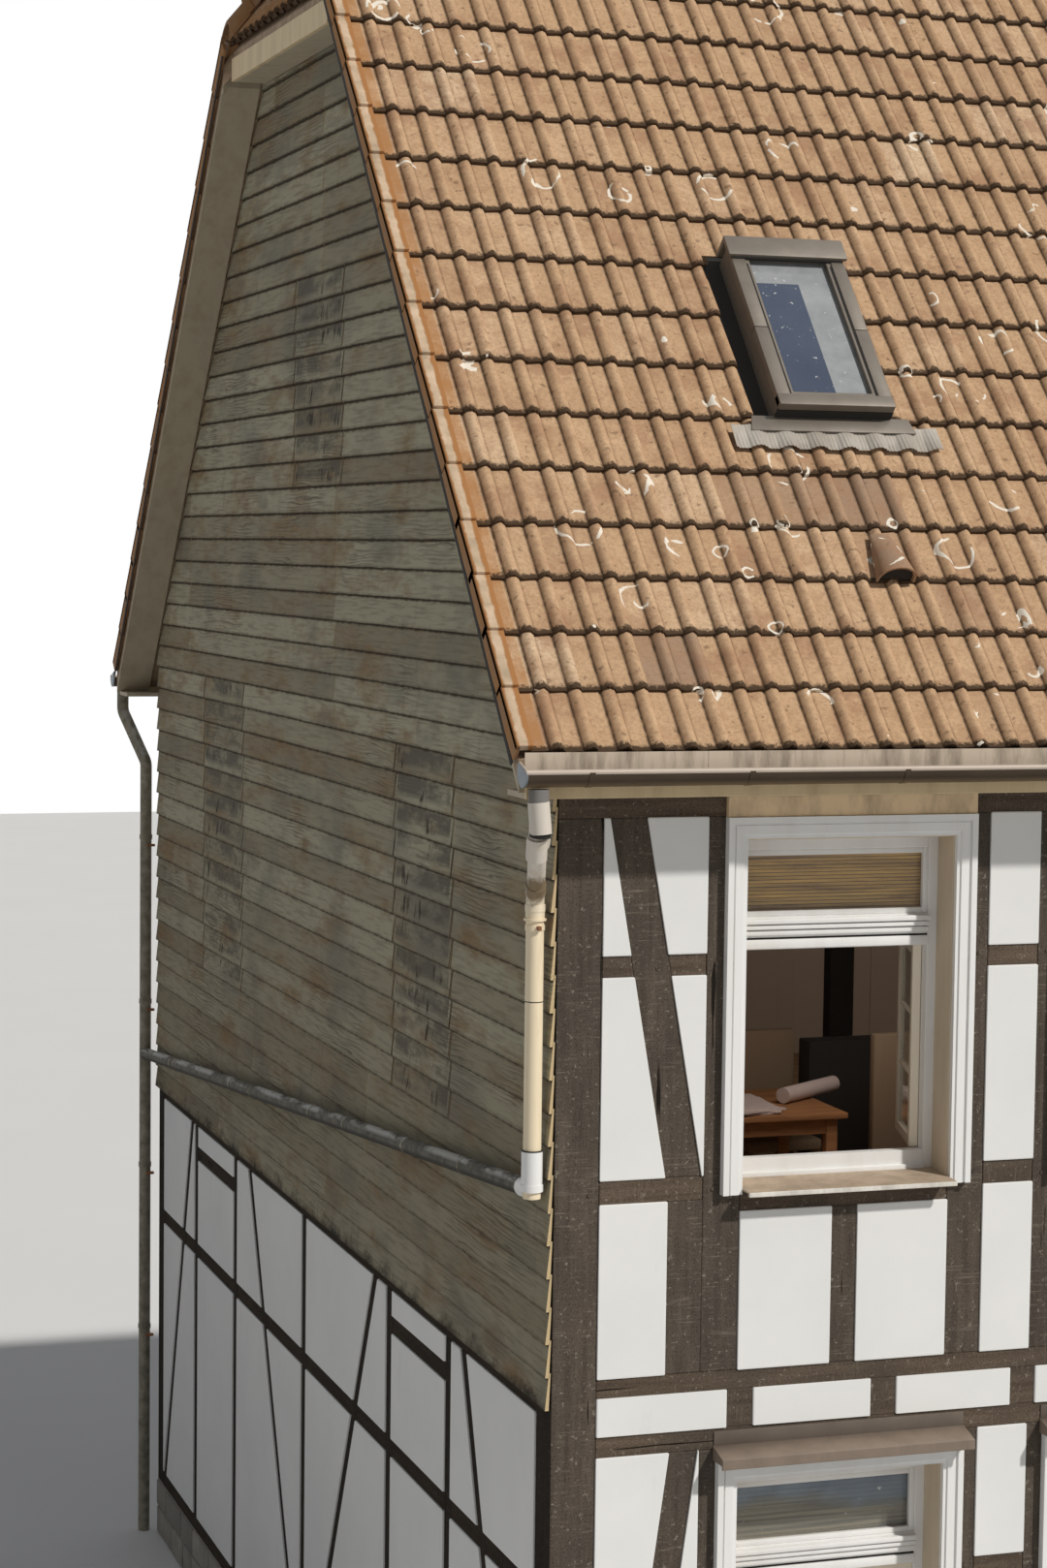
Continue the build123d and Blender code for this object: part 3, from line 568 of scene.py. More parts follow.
def mirroredBlindFinish():
    # brown slats behind glass, with a patch of sky mirrored over their upper part
    material, tree = newSurface("mirroredBlind", 0.6, 0.15)
    uneven = compute(tree, "MULTIPLY_ADD", noise(tree, 2.5, 3), 0.25, coordinate(tree, "Z"))
    slats = noise(tree, 1.0, 3, stretch=(1.5, 1.5, 60))
    colour = layers(
        tree, ramp(tree, slats, *mirrored["slats"]),
        (minus(tree, uneven, mirrored["skyFrom"]), (0.03, 0.0), (0.1, 0.9),
         ramp(tree, noise(tree, 5, 3), *mirrored["sky"])),
        (noise(tree, 30, 2), (0.7, 0.0), (0.74, 0.8), mirrored["glint"]),
    )
    return colourAndBump(material, colour, slats, 0.3, 0.002)


def gutterFinish():
    # brown-grey zinc with painted shade: dark under the bead and paler at its foot
    material, tree = newSurface("weatheredZincPaintedShade", 0.8, 0.1)
    share = minus(tree, coordinate(tree, "Z"), gutterLow.z)
    share = compute(tree, "DIVIDE", share, gutterHigh.z - gutterLow.z, clamp=True)
    colour = layers(
        # painted shade: darkest just under the bead, lighter towards the foot
        tree, ramp(tree, share, (0.1, (0.21, 0.15, 0.085)), (0.6, (0.06, 0.044, 0.031))),
        (noise(tree, 1.0, 4, stretch=(4, 12, 12)), (0.45, 0.0), (0.7, 0.5), (0.09, 0.068, 0.048)),
    )
    return colourAndBump(material, colour, noise(tree, 50, 3), 0.15, 0.001)


vergeLook = {
    "middle": 0.006,
    "wander": 0.024,
    "pale": ((0.35, (0.42, 0.325, 0.225)), (0.5, (0.56, 0.42, 0.29)), (0.65, (0.66, 0.5, 0.36))),
    "edge": (0.36, 0.17, 0.065),
}


def vergeFinish():
    # pale weathered band on the verge tiles, its edges still orange
    material, tree = newSurface("vergeBand", 0.9, 0.15)
    across = minus(tree, house["vergeX"], absolute(tree, coordinate(tree, "X")))
    off = absolute(tree, minus(tree, across, vergeLook["middle"]))
    patchy = plus(tree, off, times(tree, noise(tree, 22, 4), vergeLook["wander"]))
    colour = layers(
        tree, ramp(tree, noise(tree, 9, 4), *vergeLook["pale"]),
        (patchy, (0.027, 0.0), (0.034, 1.0), vergeLook["edge"]),
    )
    return colourAndBump(material, colour, noise(tree, 150, 3, 0.7), 0.4, 0.002)


def looksAlongY(tree):
    return facing(tree, "Y")


def heightOf(tree):
    return coordinate(tree, "Z")


finishes = {
    "postTimber": timberFinish("darkPosts", (30, 30, 2), (7, 7, 130), (20, 20, 1.2),
                               (0.07, 0.056, 0.045), (0.13, 0.105, 0.083)),
    "railTimber": timberFinish("darkRails", (2, 2, 34), (130, 130, 9), (1.2, 1.2, 24),
                               (0.085, 0.062, 0.046), (0.16, 0.12, 0.088)),
    "limewash": plasterFinish(),
    "tile": tileFinish("sandedTile", 1.0),
    "plainTile": tileFinish("plainSandedTile", 0.0),
    "capTile": tileFinish("capTile", 0.4),
    "verge": vergeFinish(),
    "siding": sidingFinish(),
    "stone": stoneFinish(),
    "mortar": mortarFinish(),
    "gutter": gutterFinish(),
    "pipe": pipeFinish(),
    "oldPipe": mossyLitAndShadedFinish("farPipe", (0.19, 0.172, 0.13), (0.34, 0.31, 0.245)),
    "linkPipe": mossyLitAndShadedFinish("linkPipe", (0.06, 0.057, 0.045), (0.13, 0.122, 0.1)),
    "skyGlass": skyGlassFinish(),
    "glass": glassFinish("windowGlass", (0.9, 0.94, 0.93), 0.03),
    "paleBlind": mirroredBlindFinish(),
    "sill": splitFinish("sillPaint", looksAlongY, -0.6, (0.75, 0.72, 0.66), (0.455, 0.355, 0.26)),
    "head": splitFinish("headPaint", heightOf, 3.5, (0.215, 0.168, 0.13), (0.78, 0.59, 0.37)),
}
paints = {  # name, clean, dirty, roughness, share of dirt, stretch of the dirt, shine
    "cream": ("agedCream", (0.56, 0.49, 0.36), (0.3, 0.22, 0.13), 0.6),
    "white": ("whitePaint", (0.8, 0.8, 0.79), (0.6, 0.56, 0.5), 0.35, 0.3),
    # sashes: white paint tinted cream as painted warm light bounced from the room
    "ivory": ("ivoryPaint", (0.82, 0.73, 0.59), (0.55, 0.43, 0.3), 0.4, 0.3),
    "lining": ("liningPaint", (0.62, 0.52, 0.39), (0.36, 0.27, 0.18), 0.5, 0.35),
    "eavesPaint": ("eavesPaint", (0.66, 0.52, 0.31), (0.34, 0.24, 0.13), 0.6, 0.5),
    # soffit and verge boards: cream paint darkened as painted shade
    "shadeBoard": ("shadeBoard", (0.42, 0.36, 0.26), (0.26, 0.2, 0.13), 0.6, 0.6),
    "flashing": ("stainedFlashing", (0.58, 0.48, 0.375), (0.06, 0.036, 0.02), 0.6, 1.0, (12, 3, 2)),
    # gutter bead: pale as a painted highlight on the rolled rim
    "bead": ("palePaint", (0.5, 0.42, 0.35), (0.34, 0.26, 0.2), 0.45, 0.35),
    "outletZinc": ("outletZinc", (0.2, 0.19, 0.18), (0.11, 0.1, 0.09), 0.7, 0.6, (9, 9, 4), 0.15),
    # near-black for the dark pipe joints, and as painted shade in gaps, troughs, under the verge, in the vent
    # mouth and behind the blinds
    "gap": ("darkGap", (0.016, 0.014, 0.012), (0.01, 0.009, 0.008), 0.9),
    "paper": ("paperSheets", (0.72, 0.62, 0.6), (0.52, 0.42, 0.4), 0.7, 0.4),
    "fabric": ("beigeFabric", (0.27, 0.2, 0.135), (0.18, 0.13, 0.085), 0.9, 0.4),
    "dark": ("darkCloth", (0.03, 0.027, 0.025), (0.02, 0.018, 0.016), 0.9),
}
metals = {  # name, colour, dull colour, roughness, metallic share
    "brown": ("brownMetal", (0.175, 0.15, 0.122), (0.12, 0.1, 0.08), 0.5, 0.3),
    "lead": ("leadSheet", (0.39, 0.36, 0.315), (0.26, 0.225, 0.185), 0.65, 0.3),
    "steel": ("blueGreyZinc", (0.22, 0.25, 0.28), (0.14, 0.155, 0.17), 0.5, 0.5),
    "rust": ("rustySteel", (0.3, 0.13, 0.06), (0.16, 0.07, 0.035), 0.75, 0.2),
    "headSheet": ("brownSheet", (0.13, 0.102, 0.08), (0.09, 0.07, 0.055), 0.6, 0.1),
}
boards = {  # name, light, dark, stretch of the grain
    "floorWood": ("floorBoards", (0.4, 0.26, 0.15), (0.22, 0.13, 0.07), (2, 30, 30)),
    "roofWood": ("sawnSoftwood", (0.42, 0.31, 0.2), (0.24, 0.16, 0.1), (3, 12, 12)),
    "doorWood": ("greenBoards", (0.06, 0.1, 0.07), (0.035, 0.06, 0.042), (30, 30, 2)),
    "tableWood": ("orangeBeech", (0.45, 0.22, 0.1), (0.3, 0.14, 0.06), (3, 30, 30)),
    "bamboo": ("bambooSlats", (1.0, 0.53, 0.1), (0.36, 0.15, 0.02), (1.5, 40, 22)),
}
for makeFinish, table in ((paintFinish, paints), (metalFinish, metals), (boardFinish, boards)):
    for key, values in table.items():
        finishes[key] = makeFinish(*values)
print("finishes made:", len(finishes))

# Carried-over nodes

nodeFinish = {
    "postTimber": ("frame_posts", "frame_braces"),
    "railTimber": ("frame_rails", "frame_beams", "floor_joists", "roof_beams"),
    "limewash": ("front_panels", "back_panels", "gable_panels", "gable_walls"),
    "mortar": ("long_plinths", "gable_plinths", "ground_floor", "door_steps"),
    "floorWood": ("upper_floor", "attic_floor"),
    "roofWood": ("front_deck", "back_deck", "hip_deck", "rafters"),
    "white": ("window_stiles", "window_rails", "window_casings"),
    "ivory": ("window_sashes",),
    "sill": ("window_sills",),
    "head": ("window_heads",),
    "glass": ("window_panes",),
    "doorWood": ("door",),
    "shadeBoard": ("soffits", "verge_boards"),
    "eavesPaint": ("fascias",),
    "tile": ("front_tiles", "back_tiles", "hip_tiles", "ridge_caps", "hip_caps"),
    "plainTile": ("verge_flanges", "vent_hood"),
    "gutter": ("gutters",),
    "pipe": ("near_downpipe",),
    "oldPipe": ("far_downpipe",),
    "linkPipe": ("link_pipe",),
    "brown": ("rooflight_frame",),
    "skyGlass": ("rooflight_pane",),
    "lead": ("rooflight_apron",),
    "siding": ("gable_siding",),
}
edgeRadius = {
    0.002: ("soffits", "verge_boards"),
    0.003: ("window_stiles", "fascias"),
    0.004: ("window_rails", "window_sashes", "window_sills", "window_heads", "door"),
    0.005: ("frame_rails", "floor_joists"),
    0.006: ("frame_posts", "frame_braces", "frame_beams", "rooflight_frame"),
    0.007: ("front_panels", "back_panels", "gable_panels"),
    0.01: ("door_steps",),
}


def wearEdges(node, radius):
    weld = node.modifiers.new("joinedFaces", "WELD")
    weld.merge_threshold = 0.0001
    bevel = node.modifiers.new("wornEdges", "BEVEL")
    bevel.width = radius
    bevel.segments = 2
    bevel.limit_method = "ANGLE"
    bevel.angle_limit = math.radians(35)


for finishName, names in nodeFinish.items():
    for name in names:
        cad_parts[name].data.materials.clear()
        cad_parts[name].data.materials.append(finishes[finishName])
for radius, names in edgeRadius.items():
    for name in names:
        wearEdges(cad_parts[name], radius)
print("nodes dressed:", sum(len(names) for names in nodeFinish.values()))

# Piece making

upright = (0, 0, 1)
unturned = Matrix.Identity(4)
halfTurn = Matrix.Rotation(math.pi, 4, "Z")
mirrorX = Matrix.Diagonal((-1, 1, 1, 1))


def placeObject(name, data):
    made = bpy.data.objects.new(name, data)
    bpy.context.scene.collection.objects.link(made)
    return made


def finishPiece(name, bm, finish, replaced=(), smoothAngle=40):
    bmesh.ops.recalc_face_normals(bm, faces=bm.faces)
    mesh = bpy.data.meshes.new(name)
    bm.to_mesh(mesh)
    bm.free()
    mesh.shade_smooth()
    mesh.set_sharp_from_angle(angle=math.radians(smoothAngle))
    mesh.materials.append(finishes[finish])
    piece = placeObject(name, mesh)
    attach(piece, "root")
    if replaced:
        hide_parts(*replaced)


def templateMesh(bm):
    mesh = bpy.data.meshes.new("template")
    bm.to_mesh(mesh)
    bm.free()
    return mesh


def addBox(bm, low, high, bevel=0.0):
    # box between two corners, its edges rounded where bevel is given
    low = Vector(low)
    high = Vector(high)
    made = bmesh.ops.create_cube(bm, size=1, matrix=Matrix.LocRotScale((low + high) / 2, None, high - low))
    if bevel:
        edges = list({edge for vert in made["verts"] for edge in vert.link_edges})
        bmesh.ops.bevel(bm, geom=edges, offset=bevel, segments=2, affect="EDGES", profile=0.5, material=-1)


def addSideBox(bm, side, xRange, yRange, zRange, bevel=0.0, centre=0.0):
    # box whose two x places count from a centre line, towards one side
    x0, x1 = sorted(centre + side * x for x in xRange)
    addBox(bm, (x0, yRange[0], zRange[0]), (x1, yRange[1], zRange[1]), bevel)


def addWideBox(bm, half, yRange, zRange, bevel=0.0, centre=0.0):
    # box that reaches equally far to both sides of a centre line
    addBox(bm, (centre - half, yRange[0], zRange[0]), (centre + half, yRange[1], zRange[1]), bevel)


def addTube(bm, matrix, length, radius, endRadius=None, segments=20, closed=True):
    # cylinder or cone along its own z, centred on the matrix
    end = radius if endRadius is None else endRadius
    return bmesh.ops.create_cone(bm, cap_ends=closed, segments=segments, radius1=radius, radius2=end,
                                 depth=length, matrix=matrix)["verts"]


def addRing(bm, centre, direction, radius, length, segments=20):
    # short cylinder centred on a pipe
    turn = Vector(upright).rotation_difference(Vector(direction)).to_matrix().to_4x4()
    addTube(bm, Matrix.Translation(centre) @ turn, length, radius, segments=segments)


def addRod(bm, start, end, radius, segments):
    # cylinder from one point to another
    run = Vector(end) - Vector(start)
    addRing(bm, Vector(start) + run / 2, run, radius, run.length, segments)


def sweepBand(bm, profile, stations, place):
    # closed band: each profile point at each station, its two ends filled
    columns = len(profile)
    rows = len(stations) - 1
    made = bmesh.ops.create_grid(bm, x_segments=columns, y_segments=rows, size=0.5)["verts"]
    for vert in made:
        column = round((vert.co.x + 0.5) * columns) % columns
        row = round((vert.co.y + 0.5) * rows)
        vert.co = place(profile[column], stations[row])
    faces = {face for vert in made for face in vert.link_faces}
    bmesh.ops.remove_doubles(bm, verts=made, dist=1e-6)
    edges = {edge for face in faces if face.is_valid for edge in face.edges if edge.is_boundary}
    bmesh.ops.holes_fill(bm, edges=list(edges), sides=0)


def cutAway(bm, point, outward):
    # removes what lies beyond a plane and closes the cut
    geometry = bm.verts[:] + bm.edges[:] + bm.faces[:]
    bmesh.ops.bisect_plane(bm, geom=geometry, dist=1e-5, plane_co=point, plane_no=outward, clear_outer=True)
    openEdges = [edge for edge in bm.edges if edge.is_boundary]
    if openEdges:
        bmesh.ops.holes_fill(bm, edges=openEdges, sides=0)


def placeCopies(mesh, matrices):
    whole = bmesh.new()
    for matrix in matrices:
        start = len(whole.verts)
        whole.from_mesh(mesh)
        whole.verts.ensure_lookup_table()
        for vert in whole.verts[start:]:
            vert.co = matrix @ vert.co
    return whole


def scatter(places, reach=1.0, axis=1):
    # copies of small meshes joined into one, each with its own tone and the share of its reach
    whole = bmesh.new()
    layerNames = ("tone", "along", "rollFootShadeAndDirt")
    toneLayer, alongLayer, rollFootShadeAndDirtLayer = (whole.verts.layers.float.new(name) for name in layerNames)
    for mesh, matrix, tone in places:
        start = len(whole.verts)
        whole.from_mesh(mesh)
        whole.verts.ensure_lookup_table()
        for vert in whole.verts[start:]:
            vert[toneLayer] = tone
            vert[alongLayer] = vert.co[axis] / reach
            # share of painted shade with dirt at the roll feet, kept as a vertex layer
            vert[rollFootShadeAndDirtLayer] = rollFootShadeAndDirtShare(vert.co.x) if axis == 1 else 0.0
            vert.co = matrix @ vert.co
    return whole


def slopeMatrix(origin, along, up):
    # x along the eaves, y up the slope, z square to it
    normal = Vector(along).cross(Vector(up))
    matrix = Matrix((Vector(along), Vector(up), normal)).transposed().to_4x4()
    matrix.translation = Vector(origin)
    return matrix


pitchCos = math.cos(house["roofPitch"])
pitchSin = math.sin(house["roofPitch"])
hipCos = math.cos(house["hipPitch"])
hipSin = math.sin(house["hipPitch"])
frontSlope = slopeMatrix((-house["vergeX"], -house["eavesY"], eavesZ), (1, 0, 0), (0, pitchCos, pitchSin))
leftHip = slopeMatrix((-house["vergeX"], hipHalf, house["hipEavesZ"]), (0, -1, 0), (hipCos, 0, hipSin))

# Roof tiles

tile = {
    "columns": 32,
    "start": 0.01,
    "gauge": 0.3265,
    "lowGauge": 0.303,
    "lowCourses": 4,
    "shift": 0.012,
    "lap": 0.03,
    "thickness": 0.015,
    "rollHeight": 0.027,
    "rollHalf": 0.034,
    "rollShape": 0.85,
    "pan": -0.029,
    "lift": 0.02,
    "lip": 0.012,
    "ragged": 0.004,
    "sag": (0.002, 0.006),
    "variants": 6,
    "rollSteps": 8,
    "foot": 0.011,
    "uneven": 0.0015,
    "turn": 0.004,
    "tone": (0.55, 0.17),
    "leastTone": 0.2,
    "smoothTones": (0.0, 0.12),
    "smoothShare": 0.02,
    "smoothPatch": {"centre": 1.95, "reach": 0.8, "courses": (2, 3, 4), "share": 0.16},
    "ridgeGap": 0.02,
}
tileCover = (2 * house["vergeX"] - tile["start"]) / tile["columns"]
rollPitch = tileCover / 2
rollCentres = (rollPitch, tileCover)


def rollFootShadeAndDirtShare(x):
    # painted shade with dirt: 1 where the left side of a roll meets the pan, less on its right side
    for centre in rollCentres:
        if abs(x - centre + tile["rollHalf"]) < 0.001:
            return 1.0
        if abs(x - centre - tile["rollHalf"]) < 0.001:
            return 0.45
    return 0.0


def tileColumns():
    # places across one tile: sparse on the pans, close on the two rolls
    reach = tile["rollHalf"] + tile["foot"]
    steps = [2 * i / tile["rollSteps"] - 1 for i in range(tile["rollSteps"] + 1)]
    rolls = [[centre + tile["rollHalf"] * step for step in steps] for centre in rollCentres]
    return [0.0, rollPitch - reach, *rolls[0], rollPitch + reach, tileCover - reach, *rolls[1]]


def courseFoot(course):
    # the lowest courses lie a little closer
    low = min(course, tile["lowCourses"])
    return low * tile["lowGauge"] + (course - low) * tile["gauge"] + (tile["shift"] if course else 0.0)


def courseCount(length):
    # courses that cover a length up the slope
    count = 0
    while courseFoot(count) < length:
        count += 1
    return count


def rollRise(x):
    for centre in rollCentres:
        offset = abs(x - centre) / tile["rollHalf"]
        if offset < 1:
            return tile["rollHeight"] * math.cos(offset * math.pi / 2) ** tile["rollShape"]
    return 0.0


def makeTile():
    # double-roll tile with a ragged lower edge; x across, y up the slope
    columns = tileColumns()
    rows = [0.0, tile["lip"], tile["gauge"] + tile["lap"]]
    bm = bmesh.new()
    bmesh.ops.create_grid(bm, x_segments=len(columns) - 1, y_segments=len(rows) - 1, size=0.5)
    for vert in bm.verts:
        x = columns[round((vert.co.x + 0.5) * (len(columns) - 1))]
        row = round((vert.co.y + 0.5) * (len(rows) - 1))
        y = rows[row]
        z = tile["pan"] + rollRise(x) - tile["lift"] * y / tile["gauge"]
        if row == 0:
            y += random.uniform(-tile["ragged"], tile["ragged"])
            z -= random.uniform(*tile["sag"])
        vert.co = (x, y, z)
    bmesh.ops.solidify(bm, geom=bm.faces[:], thickness=tile["thickness"])
    return templateMesh(bm)


tileMeshes = [makeTile() for _ in range(tile["variants"])]


def smoothChance(x, course):
    # darker smooth tiles lie together below the rooflight, and few elsewhere
    patch = tile["smoothPatch"]
    inPatch = abs(x - patch["centre"]) < patch["reach"] and course in patch["courses"]
    return patch["share"] if inPatch else tile["smoothShare"]


def tilePlaces(matrix, columns, courses, start=0.0):
    places = []
    for course in range(courses):
        for column in range(columns):
            x = start + column * tileCover
            lift = random.uniform(-tile["uneven"], tile["uneven"])
            turn = Matrix.Rotation(random.uniform(-tile["turn"], tile["turn"]), 4, "Z")
            offset = Matrix.Translation((x, courseFoot(course), lift))
            if random.random() < smoothChance(x, course):
                tone = random.uniform(*tile["smoothTones"])
            else:
                tone = min(1.0, max(tile["leastTone"], random.gauss(*tile["tone"])))
            places.append((random.choice(tileMeshes), matrix @ offset @ turn, tone))
    return places


def hipPlane(sideX, sideY):
    # upright plane through one hip line, its normal pointing from the main slope to the hip
    outward = Vector((sideX * hipHalf, -sideY * (house["vergeX"] - apexX), 0)).normalized()
    return Vector((sideX * apexX, 0, 0)), outward


rooflight = {
    "width": 0.56,
    "length": 1.03,
    "centre": 1.61 + house["vergeX"] - house["halfLength"],
    "upSlope": 1.86,
    "leftGutter": 0.085,
    "rightGutter": 0.035,
    "topGutter": 0.05,
    "footLap": 0.02,
}


def within(place, xRange, yRange, margin=0.0):
    return (xRange[0] - margin < place.x < xRange[1] + margin
            and yRange[0] - margin < place.y < yRange[1] + margin)


def clearRooflight(bm):
    # cuts the tiles back to a rectangle round the rooflight
    half = rooflight["width"] / 2
    xRange = (rooflight["centre"] - half - rooflight["leftGutter"],
              rooflight["centre"] + half + rooflight["rightGutter"])
    yRange = (rooflight["upSlope"] - rooflight["footLap"],
              rooflight["upSlope"] + rooflight["length"] + rooflight["topGutter"])
    inverse = frontSlope.inverted()
    turn = frontSlope.to_3x3()
    cuts = [((x, 0, 0), (1, 0, 0)) for x in xRange] + [((0, y, 0), (0, 1, 0)) for y in yRange]
    for point, normal in cuts:
        near = [f for f in bm.faces if within(inverse @ f.calc_center_median(), xRange, yRange, 0.5)]
        geometry = list({v for f in near for v in f.verts}) + list({e for f in near for e in f.edges}) + near
        bmesh.ops.bisect_plane(bm, geom=geometry, dist=1e-5, plane_co=frontSlope @ Vector(point),
                               plane_no=turn @ Vector(normal))
    inside = [f for f in bm.faces if within(inverse @ f.calc_center_median(), xRange, yRange)]
    bmesh.ops.delete(bm, geom=inside, context="FACES")
    bmesh.ops.holes_fill(bm, edges=[e for e in bm.edges if e.is_boundary], sides=0)


def mainSlopeTiles(name, node, turn, hole):
    courses = courseCount(house["eavesY"] / pitchCos)
    bm = scatter(tilePlaces(frontSlope, tile["columns"], courses, tile["start"]), tile["gauge"])
    if hole:
        clearRooflight(bm)
    cutAway(bm, Vector((house["vergeX"], 0, 0)), Vector((1, 0, 0)))
    cutAway(bm, Vector((0, -tile["ridgeGap"], 0)), Vector((0, 1, 0)))
    for sideX in (-1, 1):
        cutAway(bm, *hipPlane(sideX, -1))
    bmesh.ops.transform(bm, matrix=turn, verts=bm.verts)
    finishPiece(name, bm, "tile", [node], 32)


def hipFieldTiles():
    courses = courseCount((house["vergeX"] - apexX) / hipCos)
    columns = math.ceil(2 * hipHalf / tileCover)
    start = hipHalf - columns * tileCover / 2
    whole = bmesh.new()
    for side, turn in ((-1, unturned), (1, halfTurn)):
        bm = scatter(tilePlaces(turn @ leftHip, columns, courses, start), tile["gauge"])
        for sideY in (-1, 1):
            point, outward = hipPlane(side, sideY)
            cutAway(bm, point, -outward)
        whole.from_mesh(templateMesh(bm))
    finishPiece("halfHipTiles", whole, "tile", ["hip_tiles"], 32)


mainSlopeTiles("frontSlopeTiles", "front_tiles", unturned, True)
mainSlopeTiles("backSlopeTiles", "back_tiles", halfTurn, False)
hipFieldTiles()
print("roof tiles laid")

# Ridge and hip caps

cap = {
    "length": 0.42,
    "exposed": 0.36,
    "radius": 0.12,
    "bodyInset": 0.006,
    "taper": 0.014,
    "thickness": 0.014,
    "drop": 0.074,
    "skirt": 0.035,
    "collar": 0.05,
    "collarTaper": 0.002,
    "segments": 36,
    "tilt": 0.01,
    "tones": (0.1, 0.5),
    "ridgeEnds": (0.02, 0.1),
}


def makeCap():
    # half-round cap along +X, wider at its lower end, with a collar there
    bm = bmesh.new()
    turn = Matrix.Rotation(math.radians(90), 4, "Y")
    body = cap["radius"] - cap["bodyInset"]
    for length, radius, narrow in (
            (cap["length"], body, body - cap["taper"]),
            (cap["collar"], cap["radius"], cap["radius"] - cap["collarTaper"])):
        place = Matrix.Translation((length / 2, 0, 0)) @ turn
        addTube(bm, place, length, radius, narrow, cap["segments"], False)
    geometry = bm.verts[:] + bm.edges[:] + bm.faces[:]
    bmesh.ops.bisect_plane(bm, geom=geometry, plane_co=(0, 0, -cap["skirt"]), plane_no=(0, 0, -1),
                           clear_outer=True)
    bmesh.ops.recalc_face_normals(bm, faces=bm.faces)
    bmesh.ops.solidify(bm, geom=bm.faces[:], thickness=cap["thickness"])
    return templateMesh(bm)


capMesh = makeCap()


def capRun(start, end):
    # overlapping caps from start to end
    run = Vector(end) - Vector(start)
    count = max(1, round(run.length / cap["exposed"]))
    step = run.length / count
    along = run.normalized()
    side = Vector(upright).cross(along).normalized()
    turned = Matrix((along, side, along.cross(side))).transposed().to_4x4()
    places = []
    for i in range(count):
        origin = Vector(start) + along * (step * i) - Vector((0, 0, cap["drop"]))
        tilt = Matrix.Rotation(random.uniform(-cap["tilt"], cap["tilt"]), 4, "Z")
        places.append((capMesh, Matrix.Translation(origin) @ turned @ tilt, random.uniform(*cap["tones"])))
    return places


def roofCaps():
    peak = Vector((apexX, 0, house["ridgeZ"]))
    first, last = cap["ridgeEnds"]
    ridge = scatter(capRun((-peak.x + first, 0, peak.z), (peak.x - last, 0, peak.z)), cap["length"])
    cutAway(ridge, peak, Vector((1, 0, 0)))
    finishPiece("ridgeCapRow", ridge, "capTile", ["ridge_caps"])
    whole = bmesh.new()
    for sideX in (-1, 1):
        for sideY in (-1, 1):
            foot = Vector((sideX * house["vergeX"], sideY * hipHalf, house["hipEavesZ"]))
            top = Vector((sideX * apexX, 0, house["ridgeZ"]))
            part = scatter(capRun(foot, top), cap["length"])
            cutAway(part, Vector((top.x, 0, 0)), Vector((-sideX, 0, 0)))
            cutAway(part, Vector((foot.x, 0, 0)), Vector((sideX, 0, 0)))
            whole.from_mesh(templateMesh(part))
    finishPiece("hipCapRows", whole, "capTile", ["hip_caps"])


roofCaps()
print("caps laid")

# Gable boards

board = {
    "exposure": 0.14,
    "lap": 0.02,
    "thickFoot": 0.024,
    "thickHead": 0.007,
    "offWall": 0.003,
    "jointGap": 0.006,
    "ragged": 0.0018,
    "step": 0.22,
    "underDeck": 0.14,
    # joints that stand above each other: first and last course, and distances from the front corner
    "joints": (
        (0, 3, (6.3,)), (4, 6, (2.9, 5.4)), (7, 18, (1.45, 2.42, 5.7, 6.75)), (19, 19, (3.6, 5.7, 6.75)),
        (20, 27, (3.6, 7.2)), (28, 35, (3.48, 4.5)), (36, 42, (3.9,)), (43, 60, (5.0,)),
    ),
}


def makeBoard(length):
    # feathered board along Y from 0, thicker at its foot, with a slightly uneven lower edge
    bm = bmesh.new()
    count = max(1, round(length / board["step"]))
    bmesh.ops.create_grid(bm, x_segments=count, y_segments=1, size=0.5)
    top = board["exposure"] + board["lap"]
    for vert in bm.verts:
        high = vert.co.y > 0
        uneven = random.uniform(-board["ragged"], board["ragged"])
        x = board["thickHead"] if high else board["thickFoot"] + uneven
        vert.co = (x, (vert.co.x + 0.5) * length, top if high else uneven)
    made = bmesh.ops.extrude_face_region(bm, geom=bm.faces[:])
    for item in made["geom"]:
        if isinstance(item, bmesh.types.BMVert):
            item.co.x = 0.0 if item.co.z > top / 2 else board["thickHead"]
    return templateMesh(bm)


def boardEnds(course, halfSpan):
    joints = next(places for first, last, places in board["joints"] if first <= course <= last)
    return [-halfSpan, *sorted(halfSpan - place for place in joints), halfSpan]


def gableBoards():
    # boards of the +X gable, trimmed to the roof, and a copy turned half round for the other gable
    low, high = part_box("gable_siding")
    gap = board["jointGap"]
    places = []
    for course in range(math.ceil((high.z - low.z) / board["exposure"])):
        ends = boardEnds(course, house["halfWidth"])
        for y0, y1 in zip(ends, ends[1:]):
            foot = (house["halfLength"] + board["offWall"], y0 + gap / 2, low.z + course * board["exposure"])
            places.append((makeBoard(y1 - y0 - gap), Matrix.Translation(foot), random.uniform(0, 1)))
    bm = scatter(places, board["exposure"] + board["lap"], 2)
    top = house["ridgeZ"] - board["underDeck"] / pitchCos
    for sideY in (-1, 1):
        cutAway(bm, Vector((0, 0, top)), Vector((0, sideY * pitchSin, pitchCos)))
    hipTop = house["hipEavesZ"] - board["underDeck"] / hipCos
    cutAway(bm, Vector((house["vergeX"], 0, hipTop)), Vector((hipSin, 0, hipCos)))
    boarded = templateMesh(bm)
    whole = bmesh.new()
    for turn in (unturned, halfTurn):
        boarded.transform(turn)
        whole.from_mesh(boarded)
    finishPiece("gableBoards", whole, "siding", ["gable_siding"], 30)


gableBoards()
print("gables boarded")

# Windows: x along the wall, y into it, z up from the top of the opening

